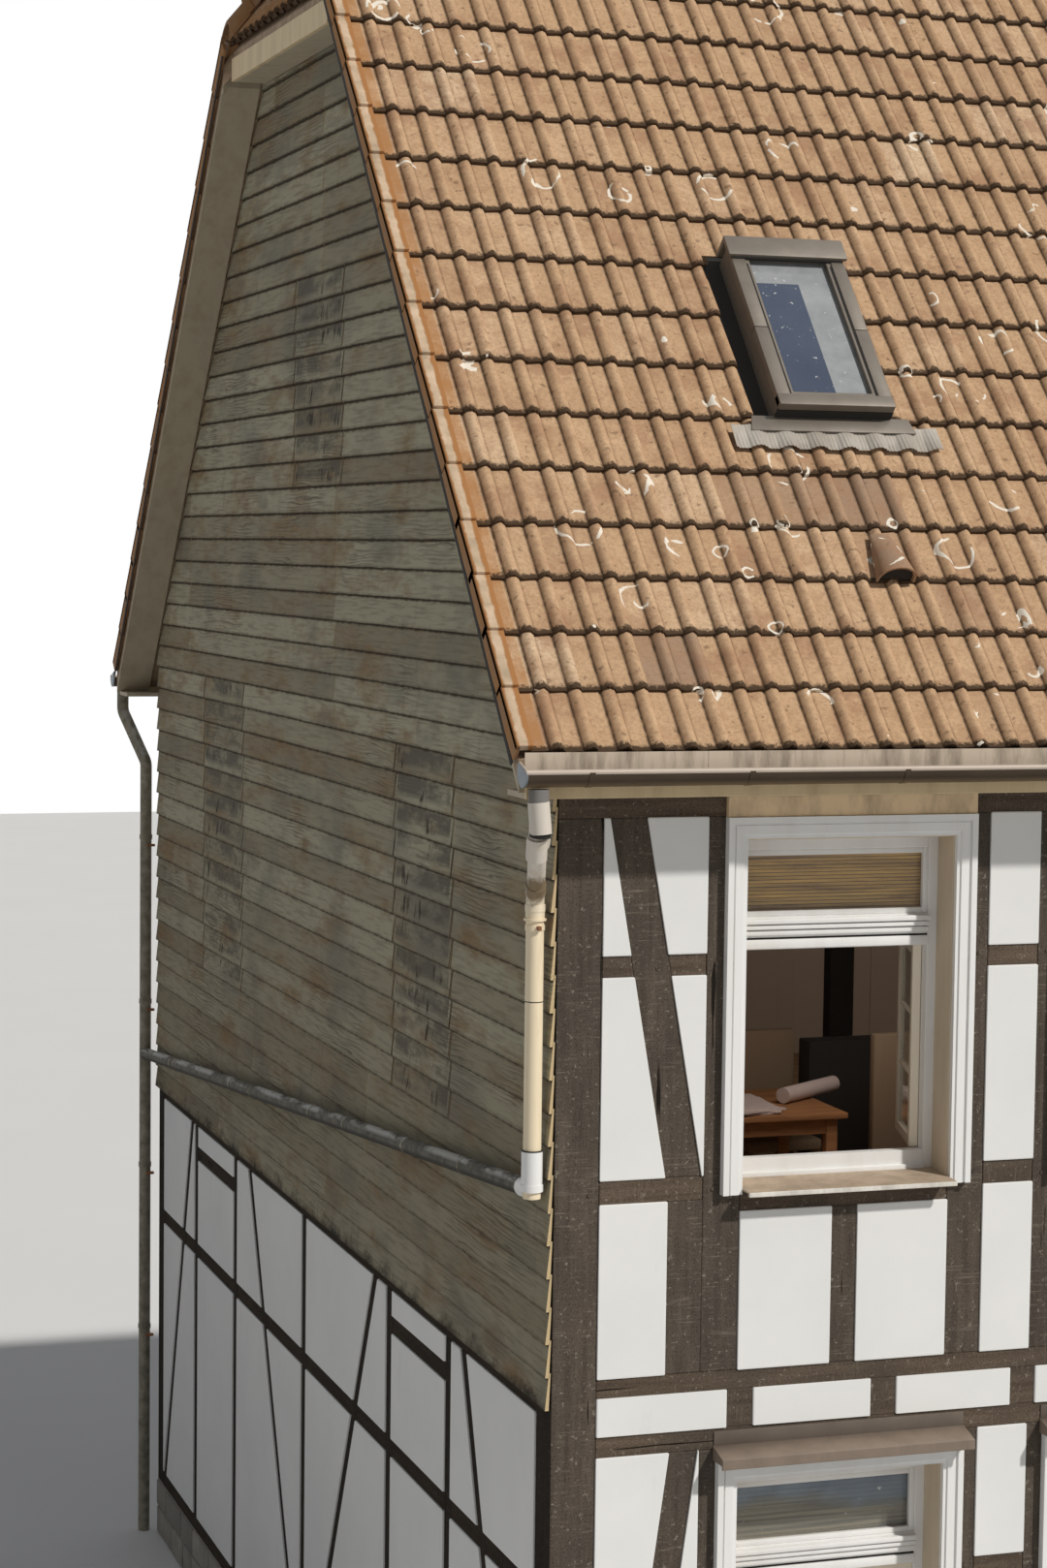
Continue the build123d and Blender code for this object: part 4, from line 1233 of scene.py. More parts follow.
window = {
    "halfWidth": 0.485,
    "height": 1.501,
    "frontOfFrame": 0.15,
    "headDepth": 0.068,
    "fanHeight": 0.286,
    "transom": 0.142,
    "sashHeight": 0.902,
    "leafWidth": 0.435,
    "leafRim": 0.046,
    "hingeDepth": 0.05,
    "upperTop": 5.436,
    "groundTop": 2.68,
    "openTurn": math.radians(107),
}
fanTop = -window["headDepth"]
fanFoot = fanTop - window["fanHeight"]
transomFoot = fanFoot - window["transom"]
casing = {
    "foot": 0.015,
    "profile": ((0.0, 0.0), (0.0, 0.027), (0.016, 0.027), (0.019, 0.034), (0.056, 0.034), (0.058, 0.028),
                (0.064, 0.028), (0.066, 0.04), (0.092, 0.04), (0.092, 0.0)),
}


def wallMatrix(side, x, z):
    # onto the front wall for side -1 and onto the back wall for side 1
    place = Matrix.Translation((x, -house["halfWidth"], z))
    return place if side < 0 else halfTurn @ place


def windowPlaces():
    # each window's place, and whether it stands open and is on the upper floor
    places = []
    for side in (-1, 1):
        for isUpper in (True, False):
            for i in range(house["windowCount"]):
                isDoor = side > 0 and not isUpper and i == house["doorIndex"]
                if not isDoor:
                    x = (i - (house["windowCount"] - 1) / 2) * house["windowPitch"]
                    z = window["upperTop"] if isUpper else window["groundTop"]
                    places.append((wallMatrix(side, x, z), side < 0 and i == 0 and isUpper, isUpper))
    return places


def makeCasing():
    half = window["halfWidth"]
    foot = -window["height"] - casing["foot"]
    corners = ((-1, foot, 0), (-1, 0, 1), (1, 0, 1), (1, foot, 0))

    def place(point, corner):
        side, z, lift = corner
        return Vector((side * (half + point[0]), -point[1], z + lift * point[0]))

    bm = bmesh.new()
    sweepBand(bm, casing["profile"], corners, place)
    return templateMesh(bm)


lining = {
    "thickness": 0.007,
    "proud": 0.002,
    "footGap": 0.004,
    "bevel": 0.0015,
}


def makeLining():
    # thin boards on the sides and the top of the opening
    half = window["halfWidth"]
    thick = lining["thickness"]
    yRange = (-lining["proud"], window["frontOfFrame"])
    bm = bmesh.new()
    for side in (-1, 1):
        zRange = (-window["height"] + lining["footGap"], 0)
        addSideBox(bm, side, (half, half - thick), yRange, zRange, lining["bevel"])
    addWideBox(bm, half - thick, yRange, (-thick, 0), lining["bevel"])
    return templateMesh(bm)


moulding = {
    # foot and top of each strip above the transom's foot, how far proud, edge radius
    "steps": ((0.112, 0.135, 0.034, 0.004), (0.088, 0.108, 0.026, 0.004), (0.062, 0.084, 0.017, 0.004),
              (0.004, 0.044, 0.012, 0.003)),
    "sunk": 0.002,
    "fanRim": 0.024,
    "fanDepth": (0.004, 0.03),
    "fanBevel": 0.003,
    "footStrip": (0.012, 0.042, 0.014, 0.004),
    # joint: dark strip as painted shade in the recess between mouldings
    "joint": (0.044, 0.052, 0.001),
}


def makeMouldings():
    # stepped strips on the transom, a slim frame round the fanlight and a strip at the foot
    face = window["frontOfFrame"]
    half = window["leafWidth"]
    rim = moulding["fanRim"]
    bevel = moulding["fanBevel"]
    bm = bmesh.new()
    strips = [(transomFoot, *step) for step in moulding["steps"]]
    strips.append((-window["height"], *moulding["footStrip"]))
    for foot, low, high, proud, radius in strips:
        addWideBox(bm, half, (face - proud, face + moulding["sunk"]), (foot + low, foot + high), radius)
    yRange = [face + y for y in moulding["fanDepth"]]
    for side in (-1, 1):
        addSideBox(bm, side, (half, half - rim), yRange, (fanFoot, fanTop), bevel)
    for z in (fanFoot, fanTop - rim):
        addWideBox(bm, half - rim, yRange, (z, z + rim), bevel)
    return templateMesh(bm)


def makeJointShade():
    # dark strip in the recess between two transom mouldings, as painted shade
    low, high, proud = moulding["joint"]
    face = window["frontOfFrame"]
    bm = bmesh.new()
    addWideBox(bm, window["leafWidth"], (face - proud, face), (transomFoot + low, transomFoot + high))
    return templateMesh(bm)


bar = {
    "count": 2,
    "half": 0.011,
    "depth": (-0.034, -0.006),
    "sunk": 0.002,
    "bevel": 0.004,
}


def makeBars():
    # level bars of one leaf, hinge line at x 0, leaf towards +x
    bm = bmesh.new()
    inner = window["sashHeight"] - 2 * window["leafRim"]
    xRange = (window["leafRim"] - bar["sunk"], window["leafWidth"] - window["leafRim"] + bar["sunk"])
    for i in range(1, bar["count"] + 1):
        z = window["leafRim"] + inner * i / (bar["count"] + 1)
        addSideBox(bm, 1, xRange, bar["depth"], (z - bar["half"], z + bar["half"]), bar["bevel"])
    return templateMesh(bm)


def leafMatrices():
    foot = transomFoot - window["sashHeight"]
    hingeY = window["frontOfFrame"] + window["hingeDepth"]
    matrices = []
    for place, isOpen, isUpper in windowPlaces():
        for side in (-1, 1):
            hinge = Matrix.Translation((side * window["leafWidth"], hingeY, foot))
            turn = Matrix.Rotation(-side * window["openTurn"] if isOpen else 0, 4, "Z")
            matrices.append(place @ hinge @ turn @ Matrix.Diagonal((-side, 1, 1, 1)))
    return matrices


blind = {
    "behind": 0.052,
    "past": 0.01,
    "over": 0.02,
    "below": 0.03,
    "back": (0.062, 0.064),
    "backBelow": 0.04,
    "bamboo": (0.0125, 0.0155, 0.004),  # slat, pitch, thickness
    "pale": (0.02, 0.021, 0.003),
}


def makeBlind(slat, pitch, thick):
    # slats behind the fanlight
    bm = bmesh.new()
    y = window["frontOfFrame"] + blind["behind"]
    top = fanTop + blind["over"]
    for i in range(int((window["fanHeight"] + blind["below"]) / pitch)):
        z = top - i * pitch
        addWideBox(bm, window["leafWidth"] + blind["past"], (y, y + thick), (z - slat, z))
    return templateMesh(bm)


def makeBlindBack():
    bm = bmesh.new()
    top = fanTop + blind["over"]
    addWideBox(bm, window["leafWidth"] + blind["past"], [window["frontOfFrame"] + y for y in blind["back"]],
               (top - window["fanHeight"] - blind["backBelow"], top))
    return templateMesh(bm)


def windowKits():
    placed = windowPlaces()
    everyWindow = [place for place, isOpen, isUpper in placed]
    upper = [place for place, isOpen, isUpper in placed if isUpper]
    ground = [place for place, isOpen, isUpper in placed if not isUpper]
    casings = placeCopies(makeCasing(), everyWindow)
    finishPiece("mouldedCasings", casings, "white", ["window_casings"], 25)
    finishPiece("revealLinings", placeCopies(makeLining(), everyWindow), "lining")
    finishPiece("transomMouldings", placeCopies(makeMouldings(), everyWindow), "white")
    finishPiece("transomJointShade", placeCopies(makeJointShade(), everyWindow), "gap")
    finishPiece("sashBars", placeCopies(makeBars(), leafMatrices()), "ivory")
    finishPiece("bambooBlinds", placeCopies(makeBlind(*blind["bamboo"]), upper), "bamboo")
    finishPiece("blindShadows", placeCopies(makeBlindBack(), upper), "gap")
    finishPiece("paleBlinds", placeCopies(makeBlind(*blind["pale"]), ground), "paleBlind")


windowKits()
print("windows fitted")

# Eaves: flashing, gutters, hooks

eaves = {
    "gutterY": 4.415,
    "rimZ": 5.75,
    "radius": 0.065,
    "sheet": 0.003,
    "clearance": 0.0025,
    "halfLength": 4.686,
    "bead": 0.012,
    "beadUp": 0.001,
    "endBead": 0.0055,
    "endBeadInset": 0.006,
    "endBeadLine": ((0.061, 0.002), (-0.0455, 0.0357)),  # out and up from the rim's centre
    "endSheet": 0.008,
    "endRadius": 0.064,
    "endRise": 0.042,
    "hookPitch": 0.694,
    "firstHook": -4.407,
    "hookCount": 13,
    "hookHalf": 0.012,
    "flashingSpans": ((-4.66, -3.87), (-3.868, -1.6), (-1.598, 1.2), (1.202, 4.66)),
    "flashingDepth": (0.001, 0.004),
    "flashingFoot": 0.03,
    "flashingTop": 0.024,
    "steps": 12,
}
gutterAngles = [math.pi * i / eaves["steps"] for i in range(eaves["steps"] + 1)]


def addGutter(bm, side):
    # half ring, as (y, z) offsets from the centre of its rim, drawn along the eaves
    outer = eaves["radius"] - eaves["clearance"]
    profile = [(-math.cos(angle) * outer, -math.sin(angle) * outer) for angle in gutterAngles]
    inner = outer - eaves["sheet"]
    profile += [(-math.cos(angle) * inner, -math.sin(angle) * inner) for angle in reversed(gutterAngles)]

    def place(point, x):
        return Vector((x, side * (eaves["gutterY"] - point[0]), eaves["rimZ"] + point[1]))

    sweepBand(bm, profile, (-eaves["halfLength"], eaves["halfLength"]), place)


def addGutterEnd(bm, side, end):
    # round end sheet, cut off slanting towards the wall
    radius = eaves["endRadius"]
    x = end * (eaves["halfLength"] - eaves["endSheet"] / 2)
    turn = Matrix.Rotation(math.radians(90), 4, "Y")
    centre = Matrix.Translation((x, side * eaves["gutterY"], eaves["rimZ"]))
    for vert in addTube(bm, centre @ turn, eaves["endSheet"], radius, segments=28):
        toWall = 0.5 - (side * vert.co.y - eaves["gutterY"]) / (2 * radius)
        vert.co.z = min(vert.co.z, eaves["rimZ"] + eaves["endRise"] * toWall)


def addEndBead(bm, side, end):
    # thin roll on the slanting edge of an end sheet
    x = end * (eaves["halfLength"] - eaves["endBeadInset"])
    ends = [(x, side * (eaves["gutterY"] + y), eaves["rimZ"] + z) for y, z in eaves["endBeadLine"]]
    addRod(bm, *ends, eaves["endBead"], 10)


def addHook(bm, side, x):
    outer = eaves["radius"]
    inner = outer - eaves["sheet"]
    half = eaves["hookHalf"]

    def place(point, angle):
        offset, shift = point
        return Vector((x + shift, side * (eaves["gutterY"] - math.cos(angle) * offset),
                       eaves["rimZ"] - math.sin(angle) * offset))

    sweepBand(bm, [(outer, -half), (outer, half), (inner, half), (inner, -half)], gutterAngles, place)


def eavesPieces():
    gutters, ends, hooks, beads, flashing = (bmesh.new() for _ in range(5))
    for side in (-1, 1):
        addGutter(gutters, side)
        for end in (-1, 1):
            addGutterEnd(ends, side, end)
            addEndBead(beads, side, end)
        for i in range(eaves["hookCount"]):
            addHook(hooks, side, eaves["firstHook"] + i * eaves["hookPitch"])
        rimY = side * (eaves["gutterY"] + eaves["radius"] - eaves["bead"])
        rim = (0, rimY, eaves["rimZ"] + eaves["beadUp"])
        addRing(beads, rim, (1, 0, 0), eaves["bead"], 2 * eaves["halfLength"], 14)
        y0, y1 = sorted(side * (house["eavesY"] + y) for y in eaves["flashingDepth"])
        foot, top = eaves["rimZ"] - eaves["flashingFoot"], eavesZ - eaves["flashingTop"]
        for x0, x1 in eaves["flashingSpans"]:
            addBox(flashing, (x0, y0, foot), (x1, y1, top))
    finishPiece("eavesGutters", gutters, "gutter", ["gutters"])
    finishPiece("gutterEnds", ends, "steel", ["gutters"])
    finishPiece("gutterHooks", hooks, "gutter")
    finishPiece("gutterBeads", beads, "bead", ["gutters"])
    finishPiece("eavesFlashing", flashing, "flashing")


eavesPieces()
print("eaves fitted")

# Pipe collars, socket and clamps

pipe = {
    "x": -4.505,
    "nearY": -4.06,
    "farY": 4.16,
    "wallX": -4.455,
    "linkHigh": 3.978,
    "linkFall": 0.73,
    "outletX": -4.613,
    "neckHigh": 5.525,
    "neckLow": 5.195,
    # on the near pipe: piece, height, radius, length
    "nearRings": (
        ("collars", 5.135, 0.0405, 0.05), ("collars", 5.112, 0.0475, 0.01),
        ("collars", 5.078, 0.0415, 0.022), ("joints", 4.769, 0.0388, 0.004),
        ("joints", 4.142, 0.0452, 0.005), ("socket", 4.065, 0.0445, 0.15),
        ("socket", 3.985, 0.048, 0.03),
    ),
    # below the gutter outlet: piece, offset from the bend, direction, radius, length
    "neckRings": (
        ("outlet", (0, 0, 0.12), (0, 0, 1), 0.0415, 0.07),
        ("sleeves", (0.005, 0, 0.04), (-0.09, 0, 1), 0.0445, 0.13),
        ("joints", (0.008, 0, -0.03), (0, -0.2, 1), 0.0435, 0.01),
        ("sleeves", (0.009, 0.045, -0.085), (0.12, 0.45, -1), 0.0435, 0.1),
    ),
    "nearClamp": ((-0.006, -0.058, 5.07), (0.012, -0.038, 5.088)),
    "linkSocket": (0.06, 0.0435, 0.09),  # along the link, radius, length
    # places along the wall, radius and length of the link's collars and of the rings at its clamps
    "linkRings": (((-3.95, -2.2, -0.4, 1.5, 3.2), 0.0415, 0.03), ((-3.12, -1.11, 0.97, 3.09), 0.041, 0.02)),
    "linkClampHalf": 0.008,
    "farRings": ((4.7, 3.6, 2.5, 1.4), 0.0425, 0.03),
    "farClamp": ((-0.06, -0.06), (-0.03, -0.045)),
}


def pipeFittings():
    made = {key: bmesh.new() for key in ("collars", "clamps", "socket", "joints", "old", "sleeves", "outlet")}
    near = Vector((pipe["x"], pipe["nearY"], 0))
    for name, z, radius, length in pipe["nearRings"]:
        addRing(made[name], near + Vector((0, 0, z)), upright, radius, length)
    addBox(made["clamps"], *(near + Vector(corner) for corner in pipe["nearClamp"]), 0.003)
    bend = Vector((pipe["outletX"], -eaves["gutterY"], pipe["neckHigh"]))
    foot = near + Vector((0, 0, pipe["neckLow"]))
    neck = (foot - bend).normalized()
    for name, offset, direction, radius, length in pipe["neckRings"]:
        addRing(made[name], bend + Vector(offset), direction, radius, length)
    addRing(made["sleeves"], bend + Vector((0.007, 0, 0)) + neck * 0.07, neck, 0.0435, 0.075)
    addRing(made["sleeves"], foot - neck * 0.08, neck, 0.0425, 0.06)
    addRing(made["sleeves"], foot - Vector((0, 0, 0.035)), upright, 0.0425, 0.03)
    linkFittings(made)
    places, radius, length = pipe["farRings"]
    (nearer, lower), (further, higher) = pipe["farClamp"]
    for z in places:
        addRing(made["old"], (pipe["x"], pipe["farY"], z), upright, radius, length)
        addBox(made["clamps"], (pipe["x"], pipe["farY"] + nearer, z + lower),
               (pipe["wallX"], pipe["farY"] + further, z + higher))
    for key, name, finish, slotName in (
            ("collars", "pipeCollars", "pipe", "pipe"), ("clamps", "pipeClamps", "rust", "pipe"),
            ("socket", "pipeSocket", "white", "pipe"), ("joints", "pipeJoints", "gap", "pipe"),
            ("old", "oldCollars", "oldPipe", "pipe"), ("sleeves", "neckSleeves", "pipe", "pipe"),
            ("outlet", "gutterOutlet", "outletZinc", "zinc")):
        finishPiece(name, made[key], finish)


def linkFittings(made):
    # socket, collars and clamps of the sloping link between the two pipes
    run = Vector((0, pipe["farY"] - pipe["nearY"], -pipe["linkFall"]))
    along = run.normalized()
    start = Vector((pipe["x"], pipe["nearY"], pipe["linkHigh"]))
    shift, radius, length = pipe["linkSocket"]
    addRing(made["socket"], start + along * shift, along, radius, length)
    for places, radius, length in pipe["linkRings"]:
        centres = [start + run * ((y - pipe["nearY"]) / run.y) for y in places]
        for centre in centres:
            addRing(made["old"], centre, along, radius, length)
    half = pipe["linkClampHalf"]
    for centre in centres:
        addBox(made["clamps"], (centre.x, centre.y - half, centre.z - half),
               (pipe["wallX"], centre.y + half, centre.z + half))


pipeFittings()
print("pipes fitted")

# Verge tiles

verge = {
    "flange": 0.022,
    "drop": 0.088,
    "top": -0.002,
    "band": 0.05,
    "bandDrop": 0.03,
    "proud": 0.004,
    "slip": 0.018,
    "gap": 0.002,
    "bevel": 0.004,
    "shadowSide": (-0.023, -0.018),
    "shadowDrop": (0.118, 0.092),
    "shadowEnds": (0.005, 0.02),
}
vergeTurns = (unturned, halfTurn, mirrorX, halfTurn @ mirrorX)


def makeVergeTile(x0, x1, z0, z1):
    bm = bmesh.new()
    addBox(bm, (x0, verge["gap"], z0), (x1, tile["gauge"] + verge["slip"], z1), verge["bevel"])
    for vert in bm.verts:
        vert.co.z -= verge["slip"] * vert.co.y / tile["gauge"]
    return templateMesh(bm)


def vergeTiles():
    # tiles turned down over the verge, their pale band, and a dark strip below them as painted shadow
    flangeMesh = makeVergeTile(-verge["flange"], -verge["gap"], -verge["drop"], verge["top"])
    bandMesh = makeVergeTile(-verge["flange"], verge["band"], -verge["bandDrop"], verge["proud"])
    slopeLength = (house["hipEavesZ"] - eavesZ) / pitchSin
    rises = [Matrix.Translation((0, courseFoot(i), 0)) for i in range(courseCount(slopeLength))]
    lineZ = [-drop for drop in verge["shadowDrop"]]
    lineY = (-verge["shadowEnds"][0], slopeLength - verge["shadowEnds"][1])
    flanges, bands, lines = (bmesh.new() for _ in range(3))
    for turn in vergeTurns:
        steps = [turn @ frontSlope @ rise for rise in rises]
        flanges.from_mesh(templateMesh(placeCopies(flangeMesh, steps)))
        bands.from_mesh(templateMesh(placeCopies(bandMesh, steps)))
        line = bmesh.new()
        # painted shadow: dark strip under the turned-down flanges
        addSideBox(line, 1, verge["shadowSide"], lineY, lineZ)
        bmesh.ops.transform(line, matrix=turn @ frontSlope, verts=line.verts)
        lines.from_mesh(templateMesh(line))
    for bm in (flanges, bands):
        cutAway(bm, Vector((0, 0, house["hipEavesZ"])), Vector(upright))
    finishPiece("vergeFlangeTiles", flanges, "plainTile", ["verge_flanges"])
    finishPiece("vergeBands", bands, "verge")
    finishPiece("vergeEdgeShadows", lines, "gap")


vergeTiles()
print("verges tiled")

# Rooflight trim, apron and vent: in the front slope's own frame

trim = {
    "rim": 0.085,
    "height": 0.09,
    "stripJoint": 0.47,
    "troughDepth": (-0.05, -0.042),
    "troughPast": 0.02,
}


def slopePiece(name, bm, finish, replaced=()):
    bmesh.ops.transform(bm, matrix=frontSlope, verts=bm.verts)
    finishPiece(name, bm, finish, replaced)


def rooflightTrim():
    # cover strips over the frame, and troughs round it dark as painted shade
    centre = rooflight["centre"]
    low = rooflight["upSlope"]
    high = low + rooflight["length"]
    middle = low + rooflight["length"] * trim["stripJoint"]
    half = rooflight["width"] / 2
    rim = trim["rim"]
    top = trim["height"]
    metal, gaps, troughs = (bmesh.new() for _ in range(3))
    # hood, its upright back, foot strip, and dark boxes as painted shade in the gaps at the foot strip and at
    # the hood
    for bm, reach, yRange, zRange, bevel in (
            (metal, half + 0.02, (high - rim - 0.01, high + 0.03), (top + 0.008, top + 0.03), 0.006),
            (metal, half + 0.02, (high + 0.004, high + 0.03), (0.0, top + 0.01), 0.006),
            (metal, half + 0.004, (low - 0.006, low + 0.062), (top - 0.03, top + 0.012), 0.005),
            (gaps, half + 0.006, (low - 0.004, low + 0.001), (0.0, top - 0.032), 0),
            (gaps, half, (high - rim - 0.016, high - rim - 0.009), (top - 0.002, top + 0.012), 0)):
        addWideBox(bm, reach, yRange, zRange, bevel, centre)
    inner = half - rim + 0.022
    for side in (-1, 1):
        for yRange in ((low + 0.004, middle), (middle + 0.003, high - rim - 0.015)):
            addSideBox(metal, side, (half + 0.004, inner), yRange, (top - 0.045, top + 0.008), 0.005, centre)
        # painted shade in the gaps along the inner edges of the side strips
        yRange = (low + 0.05, high - rim - 0.04)
        addSideBox(gaps, side, (inner - 0.01, inner), yRange, (top - 0.002, top + 0.001), 0, centre)
    # troughs beside and above the rooflight, dark as painted shade
    past = high + rooflight["topGutter"] + trim["troughPast"]
    for side, gutter in ((-1, rooflight["leftGutter"]), (1, rooflight["rightGutter"])):
        xRange = (half, half + gutter + trim["troughPast"])
        addSideBox(troughs, side, xRange, (low - rooflight["footLap"], past), trim["troughDepth"], 0, centre)
    addWideBox(troughs, half, (high, past), trim["troughDepth"], 0, centre)
    slopePiece("rooflightCladding", metal, "brown")
    slopePiece("rooflightGapShade", gaps, "gap")
    slopePiece("rooflightTroughShade", troughs, "gap")


apron = {
    "width": 1.01,
    "length": 0.175,
    "underStrip": 0.045,
    "thickness": 0.003,
    "columns": 240,
    "rows": 6,
    "rollHalf": 0.05,
    "rollHeight": 0.024,
    "pleatHeight": 0.0022,
    "pleatPitch": 0.017,
    "pleatLean": 22,
    "flatten": 0.75,
    "sink": 0.012,
    "stripEnds": (0.11, 0.13),
    "stripDepth": (-0.085, 0.004),
    "stripRise": (0.002, 0.012),
    "stripFlare": 0.02,
}


def apronHeight(x, y):
    # lies over the tile rolls, with fine pleats
    fromRoll = min(abs(x - tile["start"] - i * rollPitch) for i in range(2 * tile["columns"]))
    roll = max(0.0, math.cos(min(1.0, fromRoll / apron["rollHalf"]) * math.pi / 2)) * apron["rollHeight"]
    pleat = math.sin(x * 2 * math.pi / apron["pleatPitch"] + y * apron["pleatLean"])
    return roll + apron["pleatHeight"] * pleat


def rooflightApron():
    bm = bmesh.new()
    bmesh.ops.create_grid(bm, x_segments=apron["columns"], y_segments=apron["rows"], size=0.5)
    x0 = rooflight["centre"] - apron["width"] / 2
    foot = rooflight["upSlope"] - apron["length"]
    for vert in bm.verts:
        x = x0 + (vert.co.x + 0.5) * apron["width"]
        share = vert.co.y + 0.5
        y = foot + share * (apron["length"] - apron["underStrip"])
        z = apronHeight(x, y) * (1 - apron["flatten"] * share) - apron["sink"] * (1 - share)
        vert.co = (x, y, z)
    bmesh.ops.solidify(bm, geom=bm.faces[:], thickness=apron["thickness"])
    slopePiece("pleatedApron", bm, "lead", ["rooflight_apron"])
    # strip that covers the apron's head, splayed towards its foot
    strip = bmesh.new()
    left, right = apron["stripEnds"]
    low, high = (rooflight["upSlope"] + y for y in apron["stripDepth"])
    addSideBox(strip, 1, (x0 + left, x0 + apron["width"] - right), (low, high), apron["stripRise"], 0.003)
    for vert in strip.verts:
        if vert.co.y < (low + high) / 2:
            vert.co.x += math.copysign(apron["stripFlare"], vert.co.x - rooflight["centre"])
    slopePiece("apronStrip", strip, "brown")


rooflightTrim()
rooflightApron()

vent = {
    "x": 1.66,
    "up": 0.91,
    "length": 0.27,
    "mouthHalf": 0.092,
    "headHalf": 0.05,
    "mouthRise": 0.096,
    "headRise": 0.012,
    "thickness": 0.009,
    "mouthShare": 0.06,
    "sink": 0.022,
    "leastRise": 0.002,
    "curve": 1.4,
    "roundness": 0.8,
    "steps": 16,
    "stations": 8,
}


def ventTile():
    # hollow bell-shaped hood, wide and open down the slope, flat at its head
    x = vent["x"] + house["vergeX"] - house["halfLength"]
    stations = [i / vent["stations"] for i in range(vent["stations"] + 1)]
    steps = [math.pi * i / vent["steps"] for i in range(vent["steps"] + 1)]
    profile = [(angle, 0.0) for angle in steps] + [(angle, vent["thickness"]) for angle in reversed(steps)]

    def place(point, share):
        angle, inset = point
        half = vent["mouthHalf"] + (vent["headHalf"] - vent["mouthHalf"]) * share - inset
        rise = vent["mouthRise"] + (vent["headRise"] - vent["mouthRise"]) * share ** vent["curve"] - inset
        rise = max(rise, vent["leastRise"] * (1 - share))
        return Vector((x - math.cos(angle) * half, vent["up"] + vent["length"] * share,
                       math.sin(angle) ** vent["roundness"] * rise - vent["sink"]))

    bm = bmesh.new()
    sweepBand(bm, profile, stations, place)
    slopePiece("ventHoodTile", bm, "plainTile", ["vent_hood"])
    # dark face across the mouth, as painted shade inside the hood
    inside = bmesh.new()
    rim = [place((angle, vent["thickness"] / 2), vent["mouthShare"]) for angle in steps]
    inside.faces.new([inside.verts.new(point) for point in rim])
    slopePiece("ventMouthShade", inside, "gap")


ventTile()
print("rooflight and vent fitted")

# Stones of the plinth

stones = {
    "proud": 0.012,
    "joint": 0.014,
    "depth": 0.03,
    "bevel": 0.009,
    "uneven": 0.003,
    "rows": (0.0, 0.19, 0.37),
    "widths": (0.24, 0.52),
}


def stoneRow(length, z0, z1):
    # stones of uneven length from 0 to length
    edges = [0.0]
    while length - edges[-1] > stones["widths"][1]:
        edges.append(edges[-1] + random.uniform(*stones["widths"]))
    edges.append(length)
    gap = stones["joint"] / 2
    made = []
    for x0, x1 in zip(edges, edges[1:]):
        bm = bmesh.new()
        face = -stones["proud"] - random.uniform(-stones["uneven"], 0.0)
        addBox(bm, (x0 + gap, face, z0 + gap), (x1 - gap, stones["depth"], z1 - gap), stones["bevel"])
        made.append(templateMesh(bm))
    return made


def plinthStones():
    places = []
    quarter = Matrix.Rotation(math.radians(-90), 4, "Z")
    long, wide = house["halfLength"], house["halfWidth"]
    walls = (
        (2 * long, Matrix.Translation((-long, -wide, 0))),
        (2 * wide, Matrix.Translation((-long, wide, 0)) @ quarter),
    )
    for length, matrix in walls:
        for turn in (unturned, halfTurn):
            for z0, z1 in zip(stones["rows"], stones["rows"][1:]):
                for mesh in stoneRow(length, z0, z1):
                    places.append((mesh, turn @ matrix, random.uniform(0, 1)))
    finishPiece("plinthStones", scatter(places), "stone")


plinthStones()

# Pegs in the posts beside each rail end, and sheets over the canopies

def looseBoxes(name):
    # bounds of each separate solid of a node, sorted so that every run gives them in the same order
    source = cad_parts[name]
    bm = bmesh.new()
    bm.from_mesh(source.data)
    bmesh.ops.remove_doubles(bm, verts=bm.verts, dist=1e-5)
    waiting = set(bm.verts)
    boxes = []
    while waiting:
        group = [waiting.pop()]
        for vert in group:
            for edge in vert.link_edges:
                other = edge.other_vert(vert)
                if other in waiting:
                    waiting.remove(other)
                    group.append(other)
        places = [source.matrix_world @ vert.co for vert in group]
        boxes.append([[pick(place[i] for place in places) for i in range(3)] for pick in (min, max)])
    bm.free()
    return sorted(boxes)


peg = {
    "radius": 0.009,
    "proud": 0.004,
    "depth": 0.02,
    "inset": 0.045,
    "rise": 0.03,
    "railLengths": (0.15, 1.2),
    "cornerGap": 0.03,
    "wallSlack": 0.01,
}


def addPeg(bm, x, z, side):
    y = side * (house["halfWidth"] + (peg["proud"] - peg["depth"]) / 2)
    addRing(bm, (x, y, z), (0, -1, 0), peg["radius"], peg["depth"] + peg["proud"], 10)


def timberPegs():
    bm = bmesh.new()
    shortest, longest = peg["railLengths"]
    for low, high in looseBoxes("frame_rails"):
        side = -1 if low[1] < 0 else 1
        onLongWall = max(abs(low[1]), abs(high[1])) > house["halfWidth"] - peg["wallSlack"]
        if onLongWall and shortest < high[0] - low[0] < longest:
            z = (low[2] + high[2]) / 2
            for x in (low[0] - peg["inset"], high[0] + peg["inset"]):
                if abs(x) < house["halfLength"] - peg["cornerGap"]:
                    addPeg(bm, x, z + random.uniform(-1, 1) * peg["rise"] / 2, side)
    finishPiece("timberPegs", bm, "postTimber")


sheet = {
    "below": 3.0,
    "rise": 0.06,
    "lap": 0.02,
    "thickness": 0.006,
    "sunk": 0.002,
    "endGap": 0.004,
}


def headSheets():
    # brown sheet on the rail above each ground-floor canopy
    bm = bmesh.new()
    for low, high in looseBoxes("window_heads"):
        if high[2] < sheet["below"]:
            side = -1 if low[1] < 0 else 1
            y0, y1 = sorted(side * (house["halfWidth"] + y) for y in (-sheet["sunk"], sheet["thickness"]))
            addBox(bm, (low[0] + sheet["endGap"], y0, high[2] - sheet["lap"]),
                   (high[0] - sheet["endGap"], y1, high[2] + sheet["rise"]), 0.002)
    finishPiece("headSheets", bm, "headSheet")


timberPegs()
headSheets()
print("stones, pegs and sheets set")

